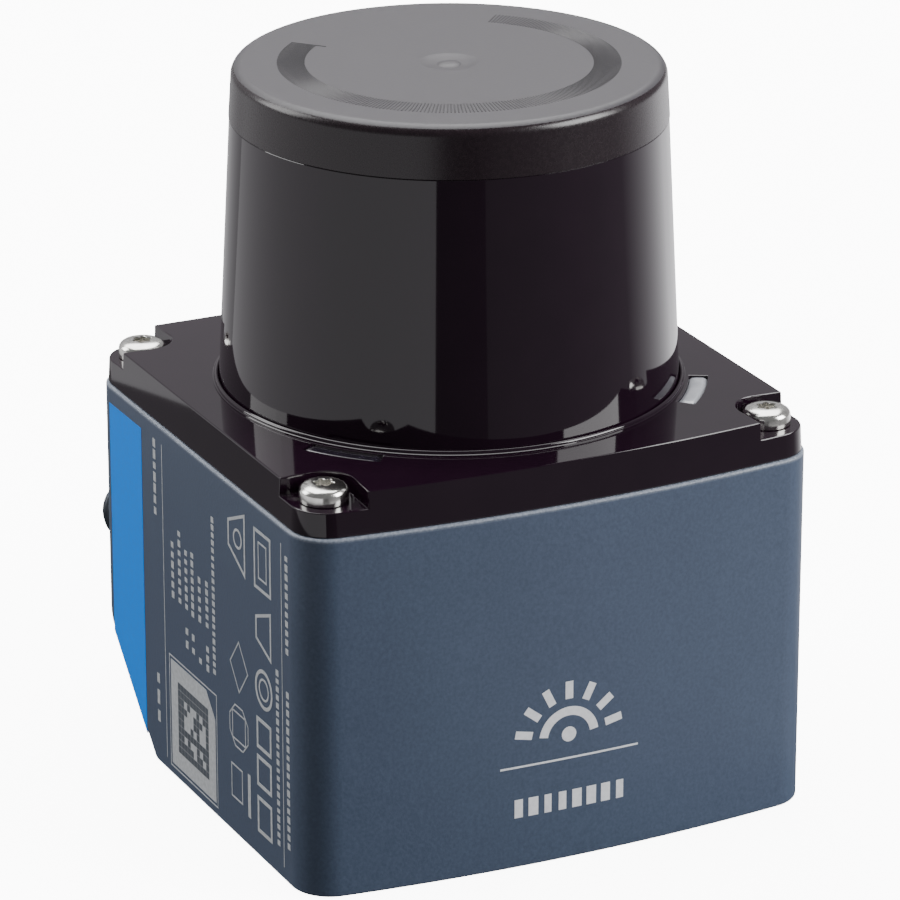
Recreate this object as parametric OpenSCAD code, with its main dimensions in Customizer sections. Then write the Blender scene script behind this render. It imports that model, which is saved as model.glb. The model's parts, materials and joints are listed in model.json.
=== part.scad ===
// Lidar scanner module: a cast housing with a dark optics hood, and a turning mirror inside.
// The origin is on the bottom face, on the axis that the mirror turns about. +Y is the rear, +Z is up.

/* [Housing] */
// Width of the housing
body_w = 60; // [56:1:76]
// Distance from the scan axis to the flat rear face
rear_reach = 28.5; // [28:0.5:36]
// Distance from the scan axis to the front corners
front_reach = 28; // [28:0.5:36]
// How far the curved front stands out past its corners
front_bulge = 2.2; // [1:0.1:4]
// Height of the housing up to the seam
housing_h = 40.4; // [39:0.1:60]
// Radius of the upright corners
corner_r = 4.5; // [3.5:0.1:6]
// Thickness of the cast walls
wall = 2.6; // [2:0.1:3.2]
// Thickness of the floor
floor_t = 2.6; // [2:0.1:4]
// Leg of the 45 degree chamfer along the rear bottom edge
chamfer_leg = 15.3; // [8:0.1:16]

/* [Hood] */
// Thickness of the hood's flange
flange_t = 4.7; // [4:0.1:7]
// Height of the hood above its flange
hood_h = 35.1; // [35:0.1:48]
// Outer radius at the foot of the hood
hood_foot_r = 24.9; // [24.4:0.1:25.2]
// Outer radius at the top of the hood
hood_top_r = 23.15; // [22.5:0.05:24.4]
// Thickness of the hood's wall
hood_wall = 2; // [1.5:0.1:2.4]
// Thickness of the hood's top
hood_top_t = 2.2; // [1.5:0.1:3]
// Rounding of the hood's top edge
hood_edge_r = 1.2; // [0.5:0.1:2]
// Height of the raised collar round the foot
collar_h = 0.9; // [0.4:0.1:1.5]
// Width of the collar outside the foot
collar_w = 0.6; // [0.4:0.1:0.8]
// Radius of each light window's inner edge
light_r = 26; // [25.6:0.1:26]
// Width of each light window
light_w = 1.9; // [1:0.1:2]
// Angle that each light window spans
light_span = 18; // [10:1:26]
// Middle of the left light window, counted from the +X axis
left_light_angle = 220; // [210:1:235]
// Middle of the right light window
right_light_angle = 323; // [305:1:335]

/* [Cover screws] */
// Distance from the side face to a cover screw
side_screw_inset = 4.1; // [3.8:0.1:5]
// Distance from the front corner line to the front screws
front_screw_inset = 3.9; // [3.8:0.1:5]
// Distance from the rear face to the rear screws
rear_screw_inset = 4.4; // [3.8:0.1:5]
// Radius of the cover screw's thread
cover_screw_r = 1.5; // [1.25:0.05:1.8]
// Length of the cover screw under its head
cover_screw_l = 11; // [8:0.5:14]
// Radius of the cover screw's head
cover_head_r = 2.6; // [2.3:0.1:2.9]
// Height of the cover screw's head
cover_head_h = 1.95; // [1.5:0.05:2.4]
// Radius of the pocket round a screw
pocket_r = 3.3; // [3:0.1:3.6]
// Depth of the pocket
pocket_depth = 1.95; // [1.5:0.05:2.4]

/* [Mounting holes] */
// Core radius of the mounting threads
mount_hole_r = 2.1; // [1.65:0.05:2.5]
// Depth of the mounting threads
mount_hole_depth = 7.5; // [5:0.5:9]
// Distance between the two holes in the bottom
bottom_hole_span = 40; // [30:1:42]
// Distance between the two holes in the rear
rear_hole_span = 34; // [32:1:36]
// Place of the bottom holes in front of the scan axis
bottom_hole_front = 8; // [6:0.5:10]
// Distance from the seam down to the rear holes
rear_hole_drop = 7.9; // [7.5:0.1:9]

/* [Connectors] */
// Radius of the power connector's thread
power_r = 4; // [3.5:0.1:4.8]
// How far the power connector stands out
power_reach = 9; // [7:0.5:12]
// Distance from the left face to the power connector's axis
power_inset = 8; // [7.5:0.1:9]
// Height of the power connector's axis above the chamfer
power_rise = 4.7; // [4.5:0.1:8]
// Radius of the data connector's thread
data_r = 6; // [5:0.1:7.2]
// How far the data connector stands out
data_reach = 11; // [8:0.5:14]
// Distance of the data connector's axis to the right of the scan axis
data_offset = 6; // [2:0.5:7]
// Height of the data connector's axis above the chamfer
data_rise = 7.9; // [7.6:0.1:9]

/* [Optics] */
// Radius of the receiving lens
lens_r = 10.5; // [9:0.1:11]
// Radius of the transmitter tube
tube_r = 3.2; // [2.6:0.1:4]
// Radius of the mirror, seen along the scan axis
mirror_r = 9.6; // [8:0.1:10]
// Thickness of the mirror
mirror_t = 1.5; // [1:0.1:1.8]

/* [Motor] */
// Radius of the motor's shaft
shaft_r = 1.5; // [1.25:0.05:2]
// Outer radius of the ball bearings
bearing_r = 3.5; // [3:0.1:4.2]
// Width of the ball bearings
bearing_w = 3; // [2:0.1:3.2]
// Wall of the bearing sleeve
sleeve_wall = 1.3; // [1:0.1:2]
// Outer radius of the rotor bell
bell_r = 12.4; // [11.8:0.1:12.6]
// Outer radius of the code disc
disc_r = 13.8; // [13.2:0.1:14.2]

/* [Hidden] */
$fn = 96;

// Overlap that keeps a cut clear of the face it opens
cut = 1;
// Gap between parts that are bonded or lie face to face
bond_gap = 0.02;
// Clearance between the housing and what drops into it
fit_gap = 0.3;
// Clearance of a screw in its through hole
screw_gap = 0.2;
// Clearance of a screw in its tapped hole
thread_gap = 0.05;
// Running clearance of the shaft in a bearing
running_gap = 0.02;
// Air gap between the stator and the magnet
air_gap = 0.5;
// Clearance round everything that turns
turn_gap = 0.4;

half_w = body_w / 2;
seam_z = housing_h;
flange_top = seam_z + flange_t;
hood_top = flange_top + hood_h;
hood_inner_top = hood_top - hood_top_t;
hood_foot_inner_r = hood_foot_r - hood_wall;
// Radius of the arc that the front follows
front_arc_r = (half_w * half_w + front_bulge * front_bulge) / (2 * front_bulge);
front_arc_y = front_arc_r - front_reach - front_bulge;

// Cover screws and their bosses
screw_x = half_w - side_screw_inset;
front_screw_y = -(front_reach - front_screw_inset);
rear_screw_y = rear_reach - rear_screw_inset;
screw_places = [[-screw_x, front_screw_y], [screw_x, front_screw_y],
                [-screw_x, rear_screw_y], [screw_x, rear_screw_y]];
cover_boss_r = cover_screw_r + 2;
cover_boss_h = cover_screw_l + 3;
pocket_floor = flange_top - pocket_depth;

// Flange, its tongues, and the gasket in the rim
flange_inset = 0.3;
tongue_t = 1.2;
tongue_h = 2;
tongue_half = 17;
gasket_w = 1;
gasket_depth = 0.8;
gasket_inset = (wall - gasket_w) / 2;

// Hood: how deep it sinks into the flange, and the dish in the middle of its top
hood_sink = 0.5;
dish_r = 3.2;
dish_floor_r = 1.2;
dish_depth = 0.3;

// Pockets: how far they run past the outer faces, and how much their ends splay
pocket_run = 4;
pocket_splay = 0.85;

// Blue strip
strip_t = 0.15;
strip_w = 9;
strip_edge_gap = 0.4;
strip_top_gap = 2;

// Mounting bosses
mount_boss_r = mount_hole_r + 2.5;
mount_boss_h = mount_hole_depth + 2;
rear_hole_z = seam_z - rear_hole_drop;

// Boards
board_t = 1.6;
small_screw_r = 1.25;
small_head_r = 2.2;
small_head_h = 1.5;
board_z = mount_boss_h + 1.5;
board_top = board_z + board_t;
board_half_w = half_w - wall - 3;
board_front = front_reach - wall - 3.4;
board_rear = 13;
board_boss_r = 2.8;
board_screw_bite = 5;
board_screw_x = board_half_w - 2.6;
board_screw_places = [[-board_screw_x, -board_front + 3], [board_screw_x, -board_front + 3],
                      [-board_screw_x, board_rear - 3], [board_screw_x, board_rear - 3]];

// Power board: it stands on the front edge of the main board
power_board_half_w = 19;
power_board_gap = 2;
capacitor_r = 2.5;
capacitor_l = 4.5;

// Optical bench
bench_t = 3;
bench_drop = 4;
bench_top = seam_z - bench_drop;
bench_bottom = bench_top - bench_t;
bench_half_y = 18.5;
bench_screw_x = half_w - wall - 2.8;
bench_screw_y = 12;
bench_screw_places = [[-bench_screw_x, -bench_screw_y], [bench_screw_x, -bench_screw_y],
                      [-bench_screw_x, bench_screw_y], [bench_screw_x, bench_screw_y]];
bench_boss_r = small_screw_r + 1.75;
bench_boss_h = 10;
bench_screw_bite = 6;
// How much deeper a tapped hole is than its screw
hole_spare = 1;
barrel_end = board_top + 3;
barrel_wall = 1.8;
barrel_end_r = 4;
lens_seat_z = bench_top + 1.5;
lens_edge_t = 2;
lens_dome = 2;
lens_ring_h = 1.5;
lens_ring_lift = 0.4;
cup_top = lens_seat_z + lens_edge_t + lens_ring_h;
cup_r = lens_r + bond_gap + barrel_wall;
barrel_top_r = lens_r - 1;
filter_r = barrel_end_r + 0.7;
filter_t = 1;
tube_wall = 0.6;
tube_top = lens_seat_z + lens_edge_t + lens_dome + 1.5;
laser_z = bench_bottom - 7;
laser_board_w = 5;
laser_board_t = 1;
laser_board_reach = 15;
diode_h = 3.5;

// Motor frame: a rear pillar that carries the motor above the mirror
pillar_y = 15;
pillar_t = 3;
pillar_w = 18;
foot_w = 27;
foot_h = 3;
frame_screw_x = 11.3;
frame_screw_y = pillar_y + pillar_t / 2;
top_plate_t = 2.6;
top_plate_r = pillar_y + pillar_t;
top_plate_z = hood_inner_top - 0.6 - top_plate_t;
stator_poles = 9;
pole_w = 1.6;
motor_board_t = 0.9;
motor_board_z = top_plate_z - motor_board_t;
sleeve_r = bearing_r + sleeve_wall;
bell_t = 1.2;
bell_top = motor_board_z - turn_gap;
bell_h = 7.7;
bell_z = bell_top - bell_h;
sleeve_z = bell_z + bell_t + turn_gap;
magnet_t = 1;
bell_wall = 1;
magnet_z = bell_z + bell_t + turn_gap;
stator_r = bell_r - bell_wall - magnet_t - air_gap;
stator_z = sleeve_z + 1;
stator_h = bell_top - stator_z - turn_gap;
disc_t = 0.5;
disc_z = bell_z - disc_t;
hub_r = shaft_r + 1.7;
lower_bearing_z = sleeve_z + 0.2;
upper_bearing_z = top_plate_z + top_plate_t - bearing_w - 0.2;
shaft_top = upper_bearing_z + bearing_w + 0.4;
shaft_z = disc_z;
fork_r = bell_r + 0.5;
fork_reach = 4.4;
fork_w = 5;
fork_angle = 135;
fork_jaw = 0.9;
fork_slot = disc_t + 2 * turn_gap;
ribbon_t = 0.3;
ribbon_w = 6;
ribbon_y = pillar_y + pillar_t + 0.15;

// Mirror
carrier_top = disc_z;
scan_z = carrier_top - mirror_r - 0.6;
weight_h = 1.4;
weight_r = hub_r + 7;

// Connectors on the rear face
power_x = -(half_w - power_inset);
power_z = chamfer_leg + power_rise;
data_z = chamfer_leg + data_rise;
shell_inner_reach = 9;
collar_t = 2;
collar_step = 1.2;
seal_groove = 0.8;
nut_t = 2.5;
nut_step = 1.3;
connector_board_y = rear_reach - shell_inner_reach - 3;
connector_board_z = board_top + 0.6;
connector_board_h = 18;
connector_board_half_w = half_w - wall - 3.4;
// Bore of a connector's shell, as a share of its thread's radius
connector_bore = 0.7;
connector_cup = 8;
pin_tail = 1.4;
pin_angles = [45 : 90 : 315];
power_pin_circle = power_r * 0.4;
power_pin_r = 0.5;
power_insert_top = power_reach - 6.5;
data_pin_circle = data_r * 0.42;
data_hole_r = 0.55;
data_insert_top = data_reach - 1.5;
contact_recess = 2;

// Outline of the housing with every side moved inwards by one distance
module outline(inset) {
  arc_r = front_arc_r - inset;
  side = half_w - inset;
  rear = rear_reach - inset;
  r = corner_r - inset;
  corner_x = side - r;
  front_corner_y = front_arc_y - sqrt((arc_r - r) * (arc_r - r) - corner_x * corner_x);
  // The arc of the front meets each corner arc here
  meet_x = corner_x * arc_r / (arc_r - r);
  intersection() {
    translate([0, front_arc_y]) circle(r = arc_r, $fn = 360);
    translate([-meet_x, -(front_reach + front_bulge + cut)])
      square([2 * meet_x, front_reach + front_bulge + cut + rear]);
  }
  translate([-side, front_corner_y]) square([2 * side, rear - r - front_corner_y]);
  for (s = [-1, 1]) {
    translate([s * corner_x, front_corner_y]) circle(r = r);
    translate([s * corner_x, rear - r]) circle(r = r);
  }
}

// Everything behind the 45 degree plane, moved inwards by one distance
module rear_wedge(inset) {
  shift = inset * sqrt(2);
  start = rear_reach - chamfer_leg - shift;
  size = chamfer_leg + shift + 10;
  translate([-body_w, 0, 0])
    rotate([90, 0, 90])
      linear_extrude(2 * body_w)
        polygon([[start - 10, -10], [start + size, -10], [start + size, size]]);
}

// A socket head machine screw with its head on the XY plane and its shank below
module small_screw(length) {
  difference() {
    cylinder(r = small_head_r, h = small_head_h);
    translate([0, 0, small_head_h / 2]) cylinder(r = small_screw_r * 0.9, h = small_head_h, $fn = 6);
  }
  translate([0, 0, -length]) cylinder(r = small_screw_r, h = length + 0.01);
}

// Part of a flat ring between two radii, starting at one angle
module ring_part(inner, outer, height, start, span) {
  rotate([0, 0, start])
    rotate_extrude(angle = span)
      translate([inner, 0]) square([outer - inner, height]);
}

// Plain ring, open at both ends
module tube(outer, inner, height) {
  difference() {
    cylinder(r = outer, h = height);
    translate([0, 0, -cut]) cylinder(r = inner, h = height + 2 * cut);
  }
}

// Repeats a shape at each place in a list, all at one height
module at_places(places, height) {
  for (p = places) translate([p[0], p[1], height]) children();
}

// Turns a shape made along +Z so that it points out of the rear face
module out_of_rear(x, z) {
  translate([x, rear_reach, z]) rotate([-90, 0, 0]) children();
}

// Cast box with a chamfered rear bottom edge, open at the top
module housing_shell() {
  difference() {
    linear_extrude(housing_h) outline(0);
    difference() {
      translate([0, 0, floor_t]) linear_extrude(housing_h) outline(wall);
      rear_wedge(wall);
    }
    rear_wedge(0);
  }
}

// Bosses for every screw, kept inside the walls
module housing_bosses() {
  intersection() {
    union() {
      at_places(screw_places, seam_z - cover_boss_h) cylinder(r = cover_boss_r, h = cover_boss_h);
      at_places(bench_screw_places, bench_bottom - bench_boss_h)
        cylinder(r = bench_boss_r, h = bench_boss_h);
      at_places(board_screw_places, floor_t / 2) cylinder(r = board_boss_r, h = board_z - floor_t / 2);
      for (s = [-1, 1]) {
        translate([s * bottom_hole_span / 2, -bottom_hole_front, floor_t / 2])
          cylinder(r = mount_boss_r, h = mount_boss_h - floor_t / 2);
        out_of_rear(s * rear_hole_span / 2, rear_hole_z)
          translate([0, 0, -mount_boss_h]) cylinder(r = mount_boss_r, h = mount_boss_h - wall / 2);
      }
    }
    difference() {
      linear_extrude(housing_h) outline(wall / 2);
      rear_wedge(wall / 2);
    }
  }
}

// Groove in the rim, and the gasket that fills it
module gasket_ring(depth) {
  translate([0, 0, seam_z - gasket_depth])
    linear_extrude(depth)
      difference() {
        outline(gasket_inset);
        outline(gasket_inset + gasket_w);
      }
}

// Side view of the blue strip, cut off by the chamfer
module strip_shape(thickness) {
  rear = rear_reach - corner_r;
  front = rear - strip_w;
  top = seam_z - strip_top_gap;
  low = front - (rear_reach - chamfer_leg) + strip_edge_gap;
  translate([-half_w, 0, 0])
    rotate([90, 0, 90])
      linear_extrude(thickness)
        polygon([[front, top], [front, low], [rear, low + strip_w], [rear, top]]);
}

// Round hole for a connector, with a flat for its nut sunk in the inner face
module connector_hole(r) {
  translate([0, 0, -wall - cut]) cylinder(r = r + screw_gap, h = wall + 2 * cut);
  translate([0, 0, -wall - nut_t - cut]) cylinder(r = r + nut_step + screw_gap, h = nut_t + cut);
}

module housing() {
  color([0.32, 0.36, 0.43]) difference() {
    union() {
      housing_shell();
      housing_bosses();
    }
    gasket_ring(gasket_depth + cut);
    translate([-cut, 0, 0]) strip_shape(strip_t + cut);
    at_places(screw_places, seam_z - cover_screw_l)
      cylinder(r = cover_screw_r + thread_gap, h = cover_screw_l + cut);
    at_places(bench_screw_places, bench_bottom - bench_screw_bite - hole_spare)
      cylinder(r = small_screw_r + thread_gap, h = bench_screw_bite + hole_spare + cut);
    at_places(board_screw_places, board_z - board_screw_bite - hole_spare)
      cylinder(r = small_screw_r + thread_gap, h = board_screw_bite + hole_spare + cut);
    for (s = [-1, 1]) {
      translate([s * bottom_hole_span / 2, -bottom_hole_front, -cut])
        cylinder(r = mount_hole_r, h = mount_hole_depth + cut);
      out_of_rear(s * rear_hole_span / 2, rear_hole_z)
        translate([0, 0, -mount_hole_depth]) cylinder(r = mount_hole_r, h = mount_hole_depth + cut);
    }
    out_of_rear(power_x, power_z) connector_hole(power_r);
    out_of_rear(data_offset, data_z) connector_hole(data_r);
  }
}

// Pocket round a corner screw, open to the two outer faces
module pocket() {
  side = side_screw_inset + pocket_run;
  mouth = pocket_r * pocket_splay;
  cylinder(r = pocket_r, h = pocket_depth + cut);
  linear_extrude(pocket_depth + cut)
    polygon([[0, pocket_r], [0, 0], [pocket_r, 0], [mouth, -side], [-side, -side], [-side, mouth]]);
}

// Half section of the hood, with the scan axis as its left edge
module hood_section() {
  edge_x = hood_top_r - hood_edge_r;
  edge_z = hood_top - hood_edge_r;
  inner_top_r = hood_top_r - hood_wall;
  polygon(concat(
    [[hood_foot_inner_r, flange_top - hood_sink], [hood_foot_r + collar_w, flange_top - hood_sink],
     [hood_foot_r + collar_w, flange_top + collar_h], [hood_foot_r - 0.05, flange_top + collar_h]],
    [for (a = [0 : 15 : 90]) [edge_x + hood_edge_r * cos(a), edge_z + hood_edge_r * sin(a)]],
    [[dish_r, hood_top], [dish_floor_r, hood_top - dish_depth], [0, hood_top - dish_depth],
     [0, hood_inner_top], [inner_top_r, hood_inner_top]]
  ));
}

// Hood, flange and the tongues that centre it in the housing, moulded in one
module optics_hood() {
  color([0.16, 0.12, 0.16]) {
    rotate_extrude($fn = 144) hood_section();
    difference() {
      translate([0, 0, seam_z + bond_gap]) linear_extrude(flange_t - bond_gap) outline(flange_inset);
      translate([0, 0, seam_z - cut]) cylinder(r = hood_foot_inner_r, h = flange_t + 2 * cut, $fn = 144);
      for (p = screw_places) {
        translate([p[0], p[1], pocket_floor])
          mirror([p[0] > 0 ? 1 : 0, 0, 0]) mirror([0, p[1] > 0 ? 1 : 0, 0]) pocket();
        translate([p[0], p[1], seam_z - cut])
          cylinder(r = cover_screw_r + screw_gap, h = flange_t + 2 * cut);
      }
      for (a = [left_light_angle, right_light_angle])
        translate([0, 0, seam_z - cut])
          ring_part(light_r - bond_gap, light_r + light_w + bond_gap, flange_t + 2 * cut,
                    a - light_span / 2 - 0.1, light_span + 0.2);
    }
    for (s = [-1, 1])
      translate([s * (half_w - wall - fit_gap - tongue_t / 2), 0, seam_z])
        cube([tongue_t, 2 * tongue_half, 2 * tongue_h], center = true);
    for (y = [rear_reach - wall - fit_gap - tongue_t / 2, -(front_reach - wall - fit_gap - tongue_t / 2)])
      translate([0, y, seam_z]) cube([2 * tongue_half, tongue_t, 2 * tongue_h], center = true);
  }
}

module cover_gasket() {
  color([0.1, 0.1, 0.1]) gasket_ring(gasket_depth);
}

// Pan head screw with a six lobe recess
module cover_screws() {
  recess_r = cover_head_r * 0.42;
  color([0.75, 0.75, 0.73])
    at_places(screw_places, pocket_floor + 0.01) {
      difference() {
        rotate_extrude() polygon([[0, 0], [cover_head_r, 0], [cover_head_r, cover_head_h * 0.55],
                                  [cover_head_r * 0.94, cover_head_h * 0.8],
                                  [cover_head_r * 0.8, cover_head_h], [0, cover_head_h]]);
        translate([0, 0, cover_head_h * 0.35]) {
          cylinder(r = recess_r * 0.8, h = cover_head_h);
          for (a = [0 : 60 : 300]) rotate([0, 0, a]) translate([recess_r * 0.75, 0, 0])
            cylinder(r = recess_r * 0.3, h = cover_head_h, $fn = 24);
        }
      }
      // The tip stops short of the blind hole's end
      translate([0, 0, seam_z - pocket_floor - cover_screw_l + 0.5])
        cylinder(r = cover_screw_r, h = pocket_floor - seam_z + cover_screw_l - 0.49);
    }
}

// Curved bar that leads light up through the flange
module light_pipe(angle) {
  color([0.55, 0.53, 0.58]) translate([0, 0, seam_z - tongue_h])
    ring_part(light_r, light_r + light_w, flange_t + tongue_h - 0.05, angle - light_span / 2, light_span);
}

module light_pipe_left() {
  light_pipe(left_light_angle);
}

module light_pipe_right() {
  light_pipe(right_light_angle);
}

module blue_strip() {
  color([0.01, 0.5, 0.77]) translate([0.01, 0, 0]) strip_shape(strip_t - 0.01);
}

// Threaded shell that passes through the rear wall, with a collar outside and an open end
module connector_shell(r, reach) {
  bore = r * connector_bore;
  difference() {
    union() {
      translate([0, 0, -shell_inner_reach]) cylinder(r = r, h = shell_inner_reach + reach);
      translate([0, 0, 0.01]) cylinder(r = r + collar_step, h = collar_t);
    }
    translate([0, 0, reach - connector_cup]) cylinder(r = bore, h = connector_cup + cut);
    translate([0, 0, -shell_inner_reach - cut]) cylinder(r = bore, h = shell_inner_reach + reach);
    translate([0, 0, -cut]) tube(r + collar_step * 0.75, r + collar_step * 0.25, cut + seal_groove);
  }
}

// Ring that seals a connector's collar against the wall
module connector_seal(r) {
  translate([0, 0, 0.02]) tube(r + collar_step * 0.75 - bond_gap, r + collar_step * 0.25 + bond_gap,
                               seal_groove - 0.04);
}

// Thin hexagon nut inside the wall
module connector_nut(r) {
  translate([0, 0, -wall - nut_t - 0.02]) difference() {
    cylinder(r = r + nut_step, h = nut_t, $fn = 6);
    translate([0, 0, -cut]) cylinder(r = r + thread_gap, h = nut_t + 2 * cut);
  }
}

module power_connector_shell() {
  color([0.38, 0.41, 0.46]) out_of_rear(power_x, power_z) connector_shell(power_r, power_reach);
}

module power_connector_insert() {
  color([0.12, 0.12, 0.13]) out_of_rear(power_x, power_z) difference() {
    translate([0, 0, -shell_inner_reach + 0.5])
      cylinder(r = power_r * connector_bore - bond_gap, h = shell_inner_reach - 0.5 + power_insert_top);
    for (a = pin_angles) rotate([0, 0, a]) translate([power_pin_circle, 0, -shell_inner_reach - cut])
      cylinder(r = power_pin_r + bond_gap, h = 2 * shell_inner_reach + power_reach, $fn = 32);
  }
}

module power_connector_pins() {
  color([0.85, 0.7, 0.35]) out_of_rear(power_x, power_z)
    for (a = pin_angles) rotate([0, 0, a]) translate([power_pin_circle, 0, -shell_inner_reach - pin_tail])
      cylinder(r = power_pin_r, h = shell_inner_reach + power_reach + 0.4, $fn = 32);
}

module power_connector_seal() {
  color([0.1, 0.1, 0.1]) out_of_rear(power_x, power_z) connector_seal(power_r);
}

module power_connector_nut() {
  color([0.7, 0.7, 0.68]) out_of_rear(power_x, power_z) connector_nut(power_r);
}

module data_connector_shell() {
  color([0.38, 0.41, 0.46]) out_of_rear(data_offset, data_z) connector_shell(data_r, data_reach);
}

module data_connector_insert() {
  color([0.12, 0.12, 0.13]) out_of_rear(data_offset, data_z) difference() {
    translate([0, 0, -shell_inner_reach + 0.5])
      cylinder(r = data_r * connector_bore - bond_gap, h = shell_inner_reach - 0.5 + data_insert_top);
    for (a = pin_angles) rotate([0, 0, a]) translate([data_pin_circle, 0, -shell_inner_reach - cut])
      cylinder(r = data_hole_r + bond_gap, h = 2 * shell_inner_reach + data_reach, $fn = 32);
  }
}

// Sleeves that sit deep in the insert's four holes
module data_connector_contacts() {
  length = shell_inner_reach + pin_tail + data_insert_top - contact_recess;
  color([0.85, 0.7, 0.35]) out_of_rear(data_offset, data_z)
    for (a = pin_angles) rotate([0, 0, a]) translate([data_pin_circle, 0, -shell_inner_reach - pin_tail])
      cylinder(r = data_hole_r, h = length, $fn = 32);
}

module data_connector_seal() {
  color([0.1, 0.1, 0.1]) out_of_rear(data_offset, data_z) connector_seal(data_r);
}

module data_connector_nut() {
  color([0.7, 0.7, 0.68]) out_of_rear(data_offset, data_z) connector_nut(data_r);
}

// Block on a board, given by its lowest corner and its size
module chip(corner, size) {
  translate(corner) cube(size);
}

module main_board() {
  color([0.1, 0.35, 0.2]) {
    difference() {
      translate([-board_half_w, -board_front, board_z])
        cube([2 * board_half_w, board_front + board_rear, board_t]);
      at_places(board_screw_places, board_z - cut)
        cylinder(r = small_screw_r + screw_gap, h = board_t + 2 * cut);
    }
    translate([0, 0, board_top - 0.01]) {
      chip([-20, -8, 0], [9, 9, 1.4]);
      chip([11, -9, 0], [8, 8, 1.2]);
      chip([-18, 4, 0], [6, 4, 1]);
      for (i = [0 : 4]) chip([10 + 2.2 * i, 4, 0], [1.2, 2, 0.8]);
      for (i = [0 : 3]) chip([-14 + 2.2 * i, -14, 0], [1.2, 2, 0.8]);
    }
  }
}

// Upright board with three capacitors, a choke and a regulator on its rear side
module power_board() {
  color([0.1, 0.35, 0.2]) translate([0, -board_front, board_top + 0.01]) {
    translate([-power_board_half_w, 0, 0])
      cube([2 * power_board_half_w, board_t, bench_bottom - board_top - power_board_gap]);
    for (i = [0 : 2]) translate([-12 + 9 * i, board_t - 0.01, 8])
      rotate([-90, 0, 0]) cylinder(r = capacitor_r, h = capacitor_l);
    chip([9.5, board_t - 0.01, 3], [8, 4, 9]);
    chip([-16, board_t - 0.01, 2], [6, 1.5, 3]);
  }
}

module connector_board() {
  color([0.1, 0.35, 0.2]) difference() {
    translate([-connector_board_half_w, connector_board_y, connector_board_z])
      cube([2 * connector_board_half_w, board_t, connector_board_h]);
    for (a = pin_angles) {
      out_of_rear(power_x, power_z) rotate([0, 0, a])
        translate([power_pin_circle, 0, -shell_inner_reach - 6])
          cylinder(r = power_pin_r + bond_gap, h = 6, $fn = 32);
      out_of_rear(data_offset, data_z) rotate([0, 0, a])
        translate([data_pin_circle, 0, -shell_inner_reach - 6])
          cylinder(r = data_hole_r + bond_gap, h = 6, $fn = 32);
    }
  }
}

module board_screws() {
  color([0.7, 0.7, 0.68]) at_places(board_screw_places, board_top + 0.01)
    small_screw(board_t + board_screw_bite);
}

// Flat cable from the main board up to the connector board
module board_ribbon() {
  color([0.75, 0.5, 0.2]) translate([-ribbon_w - 4, 0, 0]) rotate([90, 0, 90])
    linear_extrude(ribbon_w)
      polygon([[board_rear - 3, board_top + 0.01], [board_rear - 3, board_top + 0.31],
               [board_rear, board_top + 0.31], [connector_board_y - 0.31, board_top + 3],
               [connector_board_y - 0.31, board_top + 7], [connector_board_y - 0.01, board_top + 7],
               [connector_board_y - 0.01, board_top + 2.9], [board_rear, board_top + 0.01]]);
}

// Plate with a barrel under it and a cup on it, which holds both lenses and the light filter
module optical_bench() {
  plate_half_w = half_w - wall - fit_gap;
  color([0.25, 0.25, 0.27]) difference() {
    union() {
      translate([-plate_half_w, -bench_half_y, bench_bottom])
        cube([2 * plate_half_w, 2 * bench_half_y, bench_t]);
      translate([0, 0, bench_bottom]) cylinder(r = cup_r, h = cup_top - bench_bottom);
      translate([0, 0, barrel_end]) cylinder(r1 = filter_r + barrel_wall, r2 = cup_r,
                                             h = bench_bottom - barrel_end + 0.01);
    }
    translate([0, 0, lens_seat_z]) cylinder(r = lens_r + bond_gap, h = 10);
    translate([0, 0, barrel_end - 0.01]) cylinder(r1 = barrel_end_r, r2 = barrel_top_r,
                                                  h = lens_seat_z - barrel_end + 0.02);
    translate([0, 0, barrel_end - cut]) cylinder(r = filter_r + bond_gap, h = cut + filter_t + 0.1);
    translate([0, -laser_board_w / 2 - fit_gap, laser_z - laser_board_t - fit_gap])
      cube([cup_r + 5, laser_board_w + 2 * fit_gap, laser_board_t + 2 * fit_gap]);
    at_places(bench_screw_places, bench_bottom - cut)
      cylinder(r = small_screw_r + screw_gap, h = bench_t + 2 * cut);
    for (s = [-1, 1]) translate([s * frame_screw_x, frame_screw_y, bench_bottom - cut])
      cylinder(r = small_screw_r + thread_gap, h = bench_t + 2 * cut);
    // Notch for the motor's flat cable
    translate([-ribbon_w / 2 - fit_gap, ribbon_y - fit_gap, bench_bottom - cut])
      cube([ribbon_w + 2 * fit_gap, 5, bench_t + 2 * cut]);
  }
}

module bench_screws() {
  color([0.7, 0.7, 0.68]) at_places(bench_screw_places, bench_top + 0.01)
    small_screw(bench_t + bench_screw_bite);
}

// Plano-convex lens with a hole for the transmitter tube
module receive_lens() {
  dome_r = (lens_r * lens_r + lens_dome * lens_dome) / (2 * lens_dome);
  color([0.7, 0.8, 0.9, 0.5]) translate([0, 0, lens_seat_z + 0.01]) difference() {
    intersection() {
      cylinder(r = lens_r, h = lens_edge_t + lens_dome);
      translate([0, 0, lens_edge_t + lens_dome - dome_r]) sphere(r = dome_r, $fn = 128);
    }
    translate([0, 0, -cut]) cylinder(r = tube_r + bond_gap, h = lens_edge_t + lens_dome + 2 * cut);
  }
}

module lens_ring() {
  color([0.12, 0.12, 0.12]) translate([0, 0, lens_seat_z + lens_edge_t + lens_ring_lift])
    tube(lens_r, lens_r - 0.9, lens_ring_h - lens_ring_lift);
}

module transmit_tube() {
  color([0.2, 0.2, 0.2]) translate([0, 0, laser_z + 0.01])
    tube(tube_r, tube_r - tube_wall, tube_top - laser_z);
}

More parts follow.
